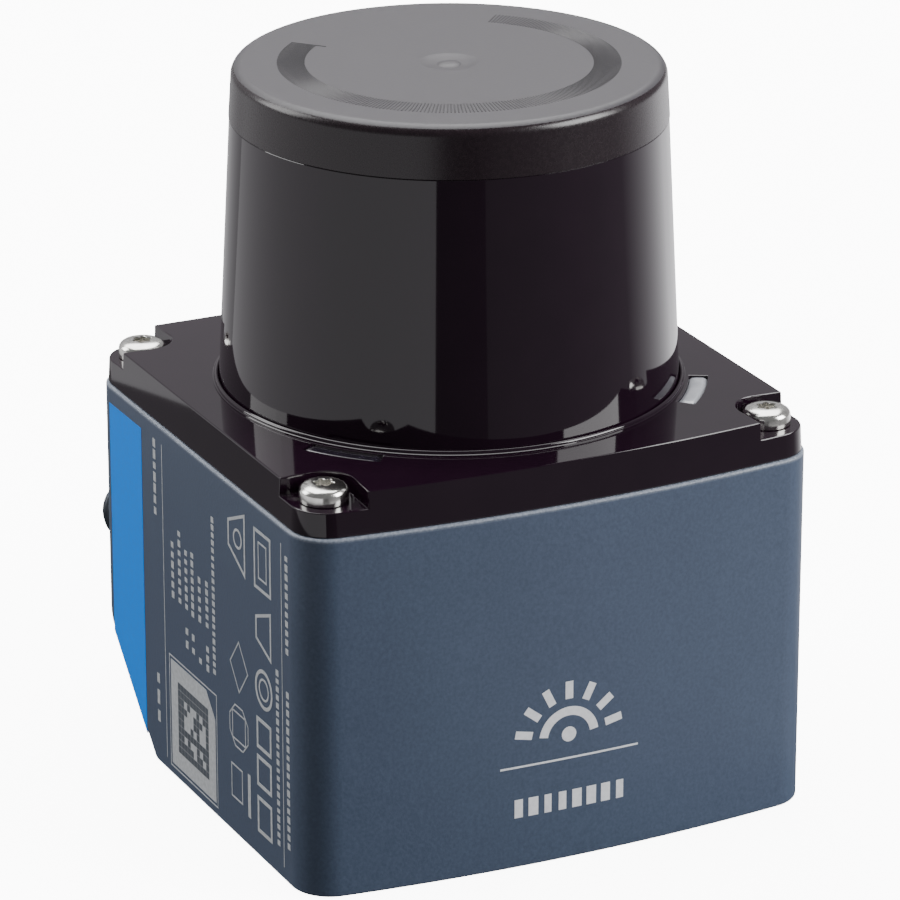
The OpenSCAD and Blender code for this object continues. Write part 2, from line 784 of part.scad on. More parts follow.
module transmit_lens() {
  r = tube_r - tube_wall - bond_gap;
  dome = 0.8;
  dome_r = (r * r + dome * dome) / (2 * dome);
  color([0.7, 0.8, 0.9, 0.5]) translate([0, 0, tube_top - 2.4]) intersection() {
    cylinder(r = r, h = 1.2 + dome);
    translate([0, 0, 1.2 + dome - dome_r]) sphere(r = dome_r, $fn = 64);
  }
}

module laser_diode() {
  color([0.8, 0.7, 0.45]) translate([0, 0, laser_z + 0.02]) {
    cylinder(r = tube_r - tube_wall - bond_gap, h = 1);
    cylinder(r = tube_r - tube_wall - 0.6, h = diode_h);
  }
}

module laser_board() {
  color([0.1, 0.35, 0.2]) translate([-tube_r, -laser_board_w / 2, laser_z - laser_board_t])
    cube([tube_r + laser_board_reach, laser_board_w, laser_board_t]);
}

module light_filter() {
  color([0.3, 0.1, 0.2]) translate([0, 0, barrel_end + 0.05]) cylinder(r = filter_r, h = filter_t);
}

module photodiode() {
  color([0.3, 0.3, 0.35]) translate([-2, -2, board_top + 0.01]) cube([4, 4, 1.2]);
}

// Sheet metal can over the light detector
module receiver_shield() {
  color([0.8, 0.8, 0.8]) translate([-6, -6, board_top + 0.01]) difference() {
    cube([12, 12, 2.6]);
    translate([0.4, 0.4, -cut]) cube([11.2, 11.2, 2.2 + cut]);
    translate([6, 6, 0]) cylinder(r = 3, h = 4);
  }
}

// Rear pillar, top plate and the sleeve that hangs from it with the bearings
module motor_frame() {
  inner_bore = shaft_r + 1;
  color([0.3, 0.3, 0.32]) difference() {
    union() {
      translate([-foot_w / 2, pillar_y, bench_top + 0.01]) cube([foot_w, pillar_t, foot_h]);
      translate([-pillar_w / 2, pillar_y, bench_top + 0.01])
        cube([pillar_w, pillar_t, top_plate_z - bench_top + top_plate_t / 2]);
      translate([0, 0, top_plate_z]) cylinder(r = top_plate_r, h = top_plate_t);
      translate([0, 0, sleeve_z]) cylinder(r = sleeve_r, h = top_plate_z - sleeve_z + 0.01);
    }
    translate([0, 0, sleeve_z - cut]) cylinder(r = inner_bore, h = hood_top);
    translate([0, 0, sleeve_z - cut])
      cylinder(r = bearing_r + bond_gap, h = lower_bearing_z - sleeve_z + cut + bearing_w);
    translate([0, 0, upper_bearing_z]) cylinder(r = bearing_r + bond_gap, h = bearing_w + cut);
    for (s = [-1, 1]) translate([s * frame_screw_x, frame_screw_y, bench_top - cut])
      cylinder(r = small_screw_r + screw_gap, h = foot_h + 2 * cut);
    // Slot that the flat cable passes through
    translate([-ribbon_w / 2 - fit_gap, pillar_y - cut, motor_board_z - 1.3])
      cube([ribbon_w + 2 * fit_gap, pillar_t + 2 * cut, 1.3]);
    // Corners of the pillar stay inside the hood
    translate([0, 0, bench_top - cut]) difference() {
      cylinder(r = 40, h = hood_top);
      translate([0, 0, -cut]) cylinder(r = hood_top_r - hood_wall - 0.5, h = hood_top + 2 * cut);
    }
  }
}

module frame_screws() {
  color([0.7, 0.7, 0.68]) for (s = [-1, 1])
    translate([s * frame_screw_x, frame_screw_y, bench_top + foot_h + 0.02])
      small_screw(foot_h + bench_t - 0.5);
}

module motor_board() {
  color([0.1, 0.35, 0.2]) translate([0, 0, motor_board_z - 0.01]) difference() {
    cylinder(r = pillar_y - 0.3, h = motor_board_t);
    translate([0, 0, -cut]) cylinder(r = sleeve_r + 0.3, h = motor_board_t + 2 * cut);
  }
}

// Flat cable from the motor board, out through the pillar and down its rear face
module motor_ribbon() {
  top = motor_board_z - 0.05;
  low = connector_board_z + connector_board_h - 1.4;
  inner = pillar_y - 1.2;
  outer = ribbon_y + ribbon_t;
  color([0.75, 0.5, 0.2]) translate([-ribbon_w / 2, 0, 0]) rotate([90, 0, 90])
    linear_extrude(ribbon_w)
      polygon([[inner, top], [outer, top], [outer, low], [ribbon_y, low], [ribbon_y, top - ribbon_t],
               [inner, top - ribbon_t]]);
}

// Core with a ring of poles, each a stem and a curved shoe
module stator() {
  core_r = sleeve_r + 1.4;
  color([0.6, 0.35, 0.2]) translate([0, 0, stator_z]) difference() {
    union() {
      cylinder(r = core_r, h = stator_h);
      for (i = [0 : stator_poles - 1]) rotate([0, 0, 360 / stator_poles * i]) {
        translate([core_r - 0.5, -pole_w / 2, 0]) cube([stator_r - core_r - 0.3, pole_w, stator_h]);
        ring_part(stator_r - 0.9, stator_r, stator_h, -14, 28);
      }
    }
    translate([0, 0, -cut]) cylinder(r = sleeve_r + bond_gap, h = stator_h + 2 * cut);
  }
}

module ball_bearing(height) {
  color([0.8, 0.8, 0.8]) translate([0, 0, height]) tube(bearing_r, shaft_r + running_gap, bearing_w);
}

module upper_bearing() {
  ball_bearing(upper_bearing_z + 0.01);
}

module lower_bearing() {
  ball_bearing(lower_bearing_z);
}

// Light gate that reads the code disc, hung under the motor board
module encoder_fork() {
  low = disc_z - turn_gap - fork_jaw;
  color([0.08, 0.08, 0.08]) rotate([0, 0, fork_angle]) difference() {
    translate([fork_r, -fork_w / 2, low]) cube([fork_reach, fork_w, motor_board_z - low - 0.03]);
    translate([fork_r - cut, -fork_w / 2 - cut, low + fork_jaw])
      cube([cut + disc_r - fork_r + turn_gap, fork_w + 2 * cut, fork_slot]);
  }
}

module motor_shaft() {
  color([0.85, 0.85, 0.85]) translate([0, 0, shaft_z]) cylinder(r = shaft_r, h = shaft_top - shaft_z);
}

module rotor_bell() {
  color([0.7, 0.7, 0.7]) difference() {
    translate([0, 0, bell_z]) cylinder(r = bell_r, h = bell_h);
    translate([0, 0, bell_z + bell_t]) cylinder(r = bell_r - bell_wall, h = bell_h);
    translate([0, 0, bell_z - cut]) cylinder(r = shaft_r + bond_gap, h = bell_h);
  }
}

module rotor_magnet() {
  color([0.2, 0.2, 0.22]) translate([0, 0, magnet_z])
    tube(bell_r - bell_wall - bond_gap, bell_r - bell_wall - magnet_t, bell_top - magnet_z);
}

// Thin disc with notches round its rim
module code_disc() {
  notches = 45;
  color([0.75, 0.75, 0.72]) translate([0, 0, disc_z]) difference() {
    cylinder(r = disc_r, h = disc_t - 0.01);
    translate([0, 0, -cut]) cylinder(r = shaft_r + bond_gap, h = disc_t + 2 * cut);
    for (i = [0 : notches - 1]) rotate([0, 0, 360 / notches * i])
      translate([disc_r - 0.9, -0.35, -cut]) cube([2, 0.7, disc_t + 2 * cut]);
  }
}

// Half space below the mirror's back plane, moved down along the plane's normal
module below_mirror(offset_down) {
  translate([0, 0, scan_z]) rotate([-45, 0, 0])
    translate([-50, -50, -100 - offset_down]) cube([100, 100, 100]);
}

// Drum cut off at 45 degrees
module mirror_carrier() {
  color([0.2, 0.2, 0.2]) difference() {
    translate([0, 0, scan_z - mirror_r]) cylinder(r = mirror_r, h = carrier_top - scan_z + mirror_r - 0.01);
    below_mirror(0);
  }
}

module scan_mirror() {
  color([0.85, 0.87, 0.9]) intersection() {
    translate([0, 0, scan_z - mirror_r - 5]) cylinder(r = mirror_r, h = 4 * mirror_r);
    difference() {
      below_mirror(bond_gap);
      below_mirror(mirror_t);
    }
  }
}

// Segment that balances the heavy rear of the mirror carrier
module balance_weight() {
  color([0.8, 0.65, 0.3]) translate([0, 0, disc_z - weight_h - 0.01])
    ring_part(weight_r, bell_r - 0.1, weight_h, 215, 110);
}

housing();
optics_hood();
cover_gasket();
cover_screws();
light_pipe_left();
light_pipe_right();
blue_strip();
power_connector_shell();
power_connector_insert();
power_connector_pins();
power_connector_seal();
power_connector_nut();
data_connector_shell();
data_connector_insert();
data_connector_contacts();
data_connector_seal();
data_connector_nut();
main_board();
power_board();
connector_board();
board_screws();
board_ribbon();
optical_bench();
bench_screws();
receive_lens();
lens_ring();
transmit_tube();
transmit_lens();
laser_diode();
laser_board();
light_filter();
photodiode();
receiver_shield();
motor_frame();
frame_screws();
motor_board();
motor_ribbon();
stator();
upper_bearing();
lower_bearing();
encoder_fork();
motor_shaft();
rotor_bell();
rotor_magnet();
code_disc();
mirror_carrier();
scan_mirror();
balance_weight();
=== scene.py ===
import json
import math

import bmesh
import bpy
from mathutils import Matrix, Vector


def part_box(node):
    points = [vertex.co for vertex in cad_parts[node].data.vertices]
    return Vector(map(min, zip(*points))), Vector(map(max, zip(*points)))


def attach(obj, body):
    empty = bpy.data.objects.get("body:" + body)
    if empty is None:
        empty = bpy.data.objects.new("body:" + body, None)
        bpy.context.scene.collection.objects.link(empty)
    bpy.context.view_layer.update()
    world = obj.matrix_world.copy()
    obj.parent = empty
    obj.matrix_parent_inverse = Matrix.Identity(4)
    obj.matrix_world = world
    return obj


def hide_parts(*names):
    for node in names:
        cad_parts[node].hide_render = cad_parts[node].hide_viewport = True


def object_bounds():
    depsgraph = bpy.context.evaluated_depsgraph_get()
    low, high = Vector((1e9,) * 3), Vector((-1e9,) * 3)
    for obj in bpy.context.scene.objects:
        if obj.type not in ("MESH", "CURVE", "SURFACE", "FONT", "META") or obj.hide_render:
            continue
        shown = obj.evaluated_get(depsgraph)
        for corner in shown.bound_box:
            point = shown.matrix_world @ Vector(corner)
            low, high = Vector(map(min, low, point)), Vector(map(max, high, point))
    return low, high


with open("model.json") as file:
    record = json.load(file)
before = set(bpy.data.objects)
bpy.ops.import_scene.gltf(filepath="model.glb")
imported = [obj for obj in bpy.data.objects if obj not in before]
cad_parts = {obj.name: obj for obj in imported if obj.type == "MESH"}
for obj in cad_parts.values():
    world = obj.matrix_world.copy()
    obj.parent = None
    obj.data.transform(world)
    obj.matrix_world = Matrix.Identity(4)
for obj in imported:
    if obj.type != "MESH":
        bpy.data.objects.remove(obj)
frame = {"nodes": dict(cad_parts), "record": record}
cad_box = [list(corner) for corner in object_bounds()]

# --- Camera ---------------------------------------------------------------------------------
# It stands to the front left of the scanner, a good half metre away, and looks a little down.
camera_data = bpy.data.cameras.new("camera")
camera_data.sensor_width = 36.0
camera_data.lens = 215.3
camera_data.shift_x = -0.0129
camera_data.shift_y = -0.0172
camera_data.clip_end = 20.0
camera = bpy.data.objects.new("camera", camera_data)
bpy.context.scene.collection.objects.link(camera)
camera.location = (-0.23804, -0.49291, 0.24513)
camera_turn = math.radians(-25.92)
camera_drop = math.radians(20.74)
camera_roll = math.radians(0.07)
camera.rotation_euler = (
    Matrix.Rotation(camera_turn, 4, "Z")
    @ Matrix.Rotation(math.pi / 2 - camera_drop, 4, "X")
    @ Matrix.Rotation(camera_roll, 4, "Z")
).to_euler()
bpy.context.scene.camera = camera

# --- Floor and light ------------------------------------------------------------------------
# A pale paper floor, a large soft box overhead, and smaller ones behind the left side and before
# the right. Grey and glowing cards and a back wall show only in what the polished pieces mirror.
mm = 0.001
floor_height = cad_box[0][2] - 0.1 * mm
floor_reach = 4
hood_middle = Vector((0, 0, 0.06))


def new_material(name):
    """An empty node material: the material, its nodes, its links and its shader."""
    material = bpy.data.materials.new(name)
    material.use_nodes = True
    tree = material.node_tree
    return material, tree.nodes, tree.links, tree.nodes["Principled BSDF"]


def new_object(name, mesh):
    """An object at the origin that shows a mesh."""
    made = bpy.data.objects.new(name, mesh)
    bpy.context.scene.collection.objects.link(made)
    return made


floor_mesh = bpy.data.meshes.new("floor")
floor_corners = [(x * floor_reach, y * floor_reach, 0) for x, y in ((-1, -1), (1, -1), (1, 1), (-1, 1))]
floor_mesh.from_pydata(floor_corners, [], [(0, 1, 2, 3)])
floor = new_object("floor", floor_mesh)
floor.location.z = floor_height
floor.visible_diffuse = False
floor.visible_glossy = False
floor_paper, nodes, links, shader = new_material("floor_paper")
shader.inputs["Base Color"].default_value = (0.92, 0.92, 0.92, 1)
shader.inputs["Roughness"].default_value = 0.9
shader.inputs["Specular IOR Level"].default_value = 0.1
shader.inputs["Emission Color"].default_value = (1, 1, 1, 1)
shader.inputs["Emission Strength"].default_value = 9.0
floor.data.materials.append(floor_paper)

world = bpy.data.worlds.new("studio")
bpy.context.scene.world = world
world.use_nodes = True
world.node_tree.nodes["Background"].inputs["Color"].default_value = (0.97, 0.98, 1.0, 1)
world.node_tree.nodes["Background"].inputs["Strength"].default_value = 0.2


def soft_box(name, place, width, height, power):
    """A rectangular light that faces the middle of the hood."""
    light = bpy.data.lights.new(name, "AREA")
    light.shape = "RECTANGLE"
    light.size = width
    light.size_y = height
    light.energy = power
    box = new_object(name, light)
    box.location = place
    box.rotation_euler = (hood_middle - Vector(place)).to_track_quat("-Z", "Y").to_euler()


soft_box("overhead", (0.05, 0.35, 0.95), 1.3, 1.1, 27)
soft_box("left_box", (-0.75, 0.55, 0.45), 0.5, 0.6, 6)
soft_box("right_box", (0.70, -0.62, 0.45), 0.6, 0.6, 17)


def mirror_card(name, start, end, near, far, first, last):
    """Part of a ring or wall round the scanner, seen only in reflections. Angles count from +X,
    near and far are each a radius and a height, and its glow runs from first to last."""
    card_mesh = bpy.data.meshes.new(name)
    steps = 24
    angles = [math.radians(start + (end - start) * i / steps) for i in range(steps + 1)]
    points = [(r * math.cos(a), r * math.sin(a), z) for a in angles for r, z in (near, far)]
    faces = [(2 * i, 2 * i + 1, 2 * i + 3, 2 * i + 2) for i in range(steps)]
    card_mesh.from_pydata(points, [], faces)
    glow = card_mesh.attributes.new("glow", "FLOAT", "POINT")
    shares = [i // 2 for i in range(len(points))]
    glow.data.foreach_set("value", [first + (last - first) * share / steps for share in shares])
    card = new_object(name, card_mesh)
    card.location.z = floor_height + 0.05 * mm
    card.visible_camera = False
    card.visible_diffuse = False
    card.visible_transmission = False
    card.visible_shadow = False
    finish, nodes, links, shader = new_material(name)
    shader.inputs["Base Color"].default_value = (0, 0, 0, 1)
    shader.inputs["Specular IOR Level"].default_value = 0
    shader.inputs["Emission Color"].default_value = (0.98, 0.97, 1, 1)
    strength = nodes.new("ShaderNodeAttribute")
    strength.attribute_name = "glow"
    links.new(strength.outputs["Fac"], shader.inputs["Emission Strength"])
    card_mesh.materials.append(finish)


mirror_card("left_card", 112, 238, (0.16, 0), (1.2, 0), 0.9, 1.1)
mirror_card("near_left_card", 90, 140, (0.05, 0), (0.16, 0), 0.2, 0.2)
mirror_card("front_card", 238, 262, (0.15, 0), (1.2, 0), 0.12, 0.12)
mirror_card("right_card", 262, 340, (0.15, 0), (1.2, 0), 0.25, 0.35)
mirror_card("near_right_card", 262, 330, (0.05, 0), (0.15, 0), 0.85, 0.85)
mirror_card("side_right_card", -20, 24, (0.05, 0), (1.2, 0), 0.35, 2.3)
mirror_card("far_right_card", 24, 62, (0.05, 0), (1.2, 0), 2.3, 1.0)
mirror_card("far_left_card", 62, 112, (0.16, 0), (1.2, 0), 0.9, 0.5)
mirror_card("back_card", -10, 150, (1.8, 0.05), (1.8, 2.2), 0.3, 0.7)

# --- Housing --------------------------------------------------------------------------------
# A thin-walled box cast in aluminium, with edges rounded by the die and a powder coat in dark
# blue-grey with a fine texture. Inside and in its tapped holes the metal is bare.
housing_low, housing_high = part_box("housing")
half_width = housing_high.x
rear_face = housing_high.y
seam = housing_high.z
corner_radius = 4.5 * mm
front_bulge = 2.2 * mm
front_arc_radius = (half_width**2 + front_bulge**2) / (2 * front_bulge)
front_arc_centre = housing_low.y + front_arc_radius
chamfer_leg = 15.3 * mm
coat_inset = 0.03 * mm
corner_steps = 12
front_steps = 40


def arc(centre_x, centre_y, radius, start, end, steps):
    """Points along an arc, with both its ends."""
    angles = [start + (end - start) * i / steps for i in range(steps + 1)]
    return [(centre_x + radius * math.cos(a), centre_y + radius * math.sin(a)) for a in angles]


def outline(inset):
    """The housing seen from above, moved inwards, as points that run round it to the left."""
    radius = corner_radius - inset
    reach = front_arc_radius - inset
    corner_x = half_width - corner_radius
    front_y = front_arc_centre - math.sqrt((front_arc_radius - corner_radius) ** 2 - corner_x**2)
    rear_y = rear_face - corner_radius
    front = -math.pi / 2
    lean = math.atan2(corner_x, front_arc_centre - front_y)
    return (
        arc(-corner_x, front_y, radius, -math.pi, front - lean, corner_steps)
        + arc(0, front_arc_centre, reach, front - lean, front + lean, front_steps)[1:-1]
        + arc(corner_x, front_y, radius, front + lean, 0, corner_steps)
        + arc(corner_x, rear_y, radius, 0, math.pi / 2, corner_steps)
        + arc(-corner_x, rear_y, radius, math.pi / 2, math.pi, corner_steps)
    )


def raised(points, height):
    """Flat points lifted to one height."""
    return [(x, y, height) for x, y in points]


def loft(name, rings):
    """A closed solid through rings of equally many points, with flat ends."""
    shape = bmesh.new()
    made = [[shape.verts.new(point) for point in ring] for ring in rings]
    for low, high in zip(made, made[1:]):
        for i in range(len(low)):
            j = (i + 1) % len(low)
            shape.faces.new((low[i], low[j], high[j], high[i]))
    shape.faces.new(made[0][::-1])
    shape.faces.new(made[-1])
    mesh = bpy.data.meshes.new(name)
    shape.to_mesh(mesh)
    shape.free()
    return new_object(name, mesh)


def settle(piece):
    """Turns a piece's modifiers into plain mesh."""
    depsgraph = bpy.context.evaluated_depsgraph_get()
    mesh = bpy.data.meshes.new_from_object(
        piece.evaluated_get(depsgraph), preserve_all_data_layers=True, depsgraph=depsgraph)
    piece.modifiers.clear()
    piece.data = mesh


def combine(piece, tool, operation):
    """Cuts, joins or intersects a piece with a tool, and takes the tool away."""
    boolean = piece.modifiers.new("boolean", "BOOLEAN")
    boolean.operation = operation
    boolean.solver = "EXACT"
    boolean.object = tool
    settle(piece)
    bpy.data.objects.remove(tool)


def smooth(piece, degrees):
    """Shades a piece smooth except along edges sharper than an angle."""
    piece.data.shade_smooth()
    piece.data.set_sharp_from_angle(angle=math.radians(degrees))


def even_faces(piece):
    """Keeps large flat faces evenly lit where they meet small rounded edges."""
    weighted = piece.modifiers.new("even_faces", "WEIGHTED_NORMAL")
    weighted.keep_sharp = True
    weighted.weight = 100
    settle(piece)


housing_paint, nodes, links, shader = new_material("housing_paint")
place = nodes.new("ShaderNodeTexCoord")
grain = nodes.new("ShaderNodeTexNoise")
grain.inputs["Scale"].default_value = 2600
grain.inputs["Detail"].default_value = 3
links.new(place.outputs["Object"], grain.inputs["Vector"])
clouds = nodes.new("ShaderNodeTexNoise")
clouds.inputs["Scale"].default_value = 90
clouds.inputs["Detail"].default_value = 2
links.new(place.outputs["Object"], clouds.inputs["Vector"])
blend = nodes.new("ShaderNodeMath")
blend.operation = "MULTIPLY_ADD"
links.new(clouds.outputs["Fac"], blend.inputs[0])
blend.inputs[1].default_value = 0.25
links.new(grain.outputs["Fac"], blend.inputs[2])
coat = nodes.new("ShaderNodeValToRGB")
coat.color_ramp.elements[0].position = 0.4
coat.color_ramp.elements[0].color = (0.039, 0.057, 0.096, 1)
coat.color_ramp.elements[1].position = 0.95
coat.color_ramp.elements[1].color = (0.057, 0.081, 0.132, 1)
links.new(blend.outputs[0], coat.inputs["Fac"])
# A painted highlight: the top edge gets a lighter colour in fine specks, for the light that the rounded
# edge catches
height = nodes.new("ShaderNodeSeparateXYZ")
links.new(place.outputs["Object"], height.inputs[0])
highlight_band = nodes.new("ShaderNodeMapRange")
highlight_band.inputs["From Min"].default_value = seam - 0.5 * mm
highlight_band.inputs["From Max"].default_value = seam - 0.2 * mm
links.new(height.outputs["Z"], highlight_band.inputs["Value"])
specks = nodes.new("ShaderNodeTexNoise")
specks.inputs["Scale"].default_value = 3400
specks.inputs["Detail"].default_value = 1
links.new(place.outputs["Object"], specks.inputs["Vector"])
painted_highlight = nodes.new("ShaderNodeMath")
painted_highlight.operation = "MULTIPLY"
links.new(highlight_band.outputs["Result"], painted_highlight.inputs[0])
links.new(specks.outputs["Fac"], painted_highlight.inputs[1])
edge = nodes.new("ShaderNodeMix")
edge.data_type = "RGBA"
links.new(painted_highlight.outputs[0], edge.inputs["Factor"])
links.new(coat.outputs["Color"], edge.inputs["A"])
edge.inputs["B"].default_value = (0.3, 0.33, 0.38, 1)
links.new(edge.outputs["Result"], shader.inputs["Base Color"])
gloss = nodes.new("ShaderNodeMapRange")
gloss.inputs["To Min"].default_value = 0.42
gloss.inputs["To Max"].default_value = 0.58
links.new(grain.outputs["Fac"], gloss.inputs["Value"])
links.new(gloss.outputs["Result"], shader.inputs["Roughness"])
bump = nodes.new("ShaderNodeBump")
bump.inputs["Strength"].default_value = 0.35
bump.inputs["Distance"].default_value = 0.04 * mm
links.new(grain.outputs["Fac"], bump.inputs["Height"])
links.new(bump.outputs["Normal"], shader.inputs["Normal"])


def grained(name, dark, light, scale, rough, metal=0.0, bump_depth=0.02 * mm):
    """A finish whose colour, gloss and surface vary with one fine grain."""
    material, nodes, links, shader = new_material(name)
    place = nodes.new("ShaderNodeTexCoord")
    grain = nodes.new("ShaderNodeTexNoise")
    grain.inputs["Scale"].default_value = scale
    grain.inputs["Detail"].default_value = 4
    links.new(place.outputs["Object"], grain.inputs["Vector"])
    tint = nodes.new("ShaderNodeValToRGB")
    tint.color_ramp.elements[0].position = 0.3
    tint.color_ramp.elements[0].color = (*dark, 1)
    tint.color_ramp.elements[1].position = 0.7
    tint.color_ramp.elements[1].color = (*light, 1)
    links.new(grain.outputs["Fac"], tint.inputs["Fac"])
    links.new(tint.outputs["Color"], shader.inputs["Base Color"])
    gloss = nodes.new("ShaderNodeMapRange")
    gloss.inputs["To Min"].default_value = rough * 0.85
    gloss.inputs["To Max"].default_value = rough * 1.15
    links.new(grain.outputs["Fac"], gloss.inputs["Value"])
    links.new(gloss.outputs["Result"], shader.inputs["Roughness"])
    bump = nodes.new("ShaderNodeBump")
    bump.inputs["Strength"].default_value = 0.3
    bump.inputs["Distance"].default_value = bump_depth
    links.new(grain.outputs["Fac"], bump.inputs["Height"])
    links.new(bump.outputs["Normal"], shader.inputs["Normal"])
    shader.inputs["Metallic"].default_value = metal
    return material


cast_metal = grained("cast_metal", (0.42, 0.42, 0.43), (0.56, 0.56, 0.57), 900, 0.5, metal=1.0)

hair = 0.005 * mm
body = loft("housing", [raised(outline(coat_inset), z) for z in (hair, seam - hair)])
chamfer_start = rear_face - chamfer_leg - coat_inset * math.sqrt(2)
shape = bmesh.new()
shape.from_mesh(body.data)
bmesh.ops.bisect_plane(
    shape,
    geom=shape.verts[:] + shape.edges[:] + shape.faces[:],
    plane_co=(0, chamfer_start, 0),
    plane_no=(0, 1, -1),
    clear_outer=True,
)
bmesh.ops.contextual_create(shape, geom=[e for e in shape.edges if e.is_boundary])
bmesh.ops.recalc_face_normals(shape, faces=shape.faces)
# How far each kind of edge is rounded: where the chamfer meets the bottom, along the rest of the
# chamfer, round the bottom, and round the top
knee_round = 1.6 * mm
edge_round = 0.8 * mm
foot_round = 0.35 * mm
rim_round = 0.3 * mm
weight = shape.edges.layers.float.new("bevel_weight_edge")
for edge_line in shape.edges:
    ends = [vert.co for vert in edge_line.verts]
    on_chamfer = all(abs(co.y - co.z - chamfer_start) < hair for co in ends)
    on_bottom = all(co.z < 2 * hair for co in ends)
    on_top = all(co.z > seam - 2 * hair for co in ends)
    if on_chamfer and on_bottom:
        edge_line[weight] = 1
    elif on_chamfer:
        edge_line[weight] = edge_round / knee_round
    elif on_bottom:
        edge_line[weight] = foot_round / knee_round
    elif on_top:
        edge_line[weight] = rim_round / knee_round
shape.to_mesh(body.data)
shape.free()
rounding = body.modifiers.new("rounding", "BEVEL")
rounding.limit_method = "WEIGHT"
rounding.width = knee_round
rounding.segments = 6
settle(body)

inside = new_object("housing_inside", frame["nodes"]["housing"].data.copy())
shape = bmesh.new()
shape.from_mesh(inside.data)
bmesh.ops.remove_doubles(shape, verts=shape.verts, dist=0.001 * mm)
for face in shape.faces:
    face.material_index = 1
shape.to_mesh(inside.data)
shape.free()
inside.data.materials.clear()
for finish in (housing_paint, cast_metal):
    body.data.materials.append(finish)
    inside.data.materials.append(finish)
combine(body, inside, "INTERSECT")
smooth(body, 32)
even_faces(body)
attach(body, "base")
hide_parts("housing")

# --- Optics hood ----------------------------------------------------------------------------
# One moulding in a dark plastic that passes only infrared light: a flange with a pocket at each
# corner and a polished cone with a bead round its foot. Its flat top is matt, the band under it
# is satin, and the top has a small dimple where the plastic was let in.
hood_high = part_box("optics_hood")[1].z
flange_top = seam + 4.7 * mm
top_skin = hood_high - 0.05 * mm
cone_height = top_skin - flange_top
foot_radius = 24.9 * mm
top_radius = 23.15 * mm
inner_foot_radius = 22.8 * mm
ceiling = cone_height - 2.2 * mm
band_height = 5.75 * mm
top_edge_radius = 1.2 * mm
pocket_floor = flange_top - 1.95 * mm
pocket_radius = 3.3 * mm
screw_low, screw_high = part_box("cover_screws")
head_radius = 2.6 * mm
screw_hole_radius = 1.7 * mm
screw_places = [
    (x, y)
    for x in (screw_low.x + head_radius, screw_high.x - head_radius)
    for y in (screw_low.y + head_radius, screw_high.y - head_radius)
]


def lathe(name, profile, steps, ripple=None):
    """Turns (radius, height) points round the Z axis. A profile that leaves the axis and comes
    back to it makes a solid, and any other profile closes on itself and makes a ring."""
    shape = bmesh.new()
    rings = []
    for radius, height in profile:
        ring = []
        for i in range(steps if radius else 1):
            angle = 2 * math.pi * i / steps
            reach = radius + (ripple(radius, height, angle) if ripple and radius else 0)
            ring.append(shape.verts.new((reach * math.cos(angle), reach * math.sin(angle), height)))
        rings.append(ring)
    if profile[0][0]:
        rings.append(rings[0])
    for low, high in zip(rings, rings[1:]):
        for i in range(steps):
            corners = (low[i % len(low)], low[(i + 1) % steps % len(low)],
                       high[(i + 1) % steps % len(high)], high[i % len(high)])
            shape.faces.new(list(dict.fromkeys(corners)))
    bmesh.ops.recalc_face_normals(shape, faces=shape.faces)
    mesh = bpy.data.meshes.new(name)
    shape.to_mesh(mesh)
    shape.free()
    return new_object(name, mesh)


def join(name, parts):
    """Puts several meshes into one object."""
    shape = bmesh.new()
    for part in parts:
        shape.from_mesh(part.data)
        bpy.data.objects.remove(part)
    mesh = bpy.data.meshes.new(name)
    shape.to_mesh(mesh)
    shape.free()
    return new_object(name, mesh)


def circle(centre_x, centre_y, radius, count, start=0.0):
    """The corners of a round outline, which starts at an angle and runs to the left."""
    return arc(centre_x, centre_y, radius, start, start + math.tau * (count - 1) / count, count - 1)


def ring_sector(inner, outer, start, end, steps):
    """The outline of part of a flat ring."""
    return arc(0, 0, outer, start, end, steps) + arc(0, 0, inner, end, start, steps)


def pocket(x, y):
    """The outline of the pocket round one screw, open past both outer faces."""
    side = 8 * mm
    mouth = pocket_radius * 0.85
    points = [(mouth, -side)] + arc(0, 0, pocket_radius, 0, math.pi / 2, 10)
    points += [(-side, mouth), (-side, -side)]
    flip_x = -1 if x > 0 else 1
    flip_y = -1 if y > 0 else 1
    points = [(x + flip_x * u, y + flip_y * v) for u, v in points]
    return points if flip_x == flip_y else points[::-1]


flange_inset = 0.3 * mm
flange_draft = 0.25 * mm
hood = loft("optics_hood", [
    raised(outline(flange_inset), seam + 0.02 * mm),
    raised(outline(flange_inset + flange_draft), flange_top),
])
low_cut = seam - 1 * mm
high_cut = flange_top + 1 * mm
pockets = [loft("cut", [raised(pocket(x, y), z) for z in (pocket_floor, high_cut)])
           for x, y in screw_places]
combine(hood, join("pockets", pockets), "DIFFERENCE")
holes = [loft("cut", [raised(circle(x, y, screw_hole_radius, 32), z) for z in (low_cut, high_cut)])
         for x, y in screw_places]
combine(hood, join("holes", holes), "DIFFERENCE")
slots = []
for window in ("light_pipe_left", "light_pipe_right"):
    low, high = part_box(window)
    middle = math.atan2(low.y + high.y, low.x + high.x)
    slots.append((middle, window))
light_inner = 26 * mm
light_outer = 27.9 * mm
light_half_span = math.radians(9)
slot_gap = 0.04 * mm
slot_end_gap = 0.002
cone_hole = circle(0, 0, inner_foot_radius + 0.4 * mm, 96)
cuts = [loft("cut", [raised(cone_hole, z) for z in (low_cut, high_cut)])]
for middle, window in slots:
    start = middle - light_half_span - slot_end_gap
    end = middle + light_half_span + slot_end_gap
    sector = ring_sector(light_inner - slot_gap, light_outer + slot_gap, start, end, 20)
    cuts.append(loft("cut", [raised(sector, z) for z in (low_cut, high_cut)]))
combine(hood, join("cuts", cuts), "DIFFERENCE")
flange_edge_round = 0.16 * mm
sharp_from = math.radians(35)
shape = bmesh.new()
shape.from_mesh(hood.data)
bmesh.ops.remove_doubles(shape, verts=shape.verts, dist=0.002 * mm)
sharp = [e for e in shape.edges if e.is_manifold and e.calc_face_angle() > sharp_from]
bmesh.ops.bevel(shape, geom=sharp, offset=flange_edge_round, segments=2, profile=0.5,
                affect="EDGES", clamp_overlap=True)
shape.to_mesh(hood.data)
shape.free()


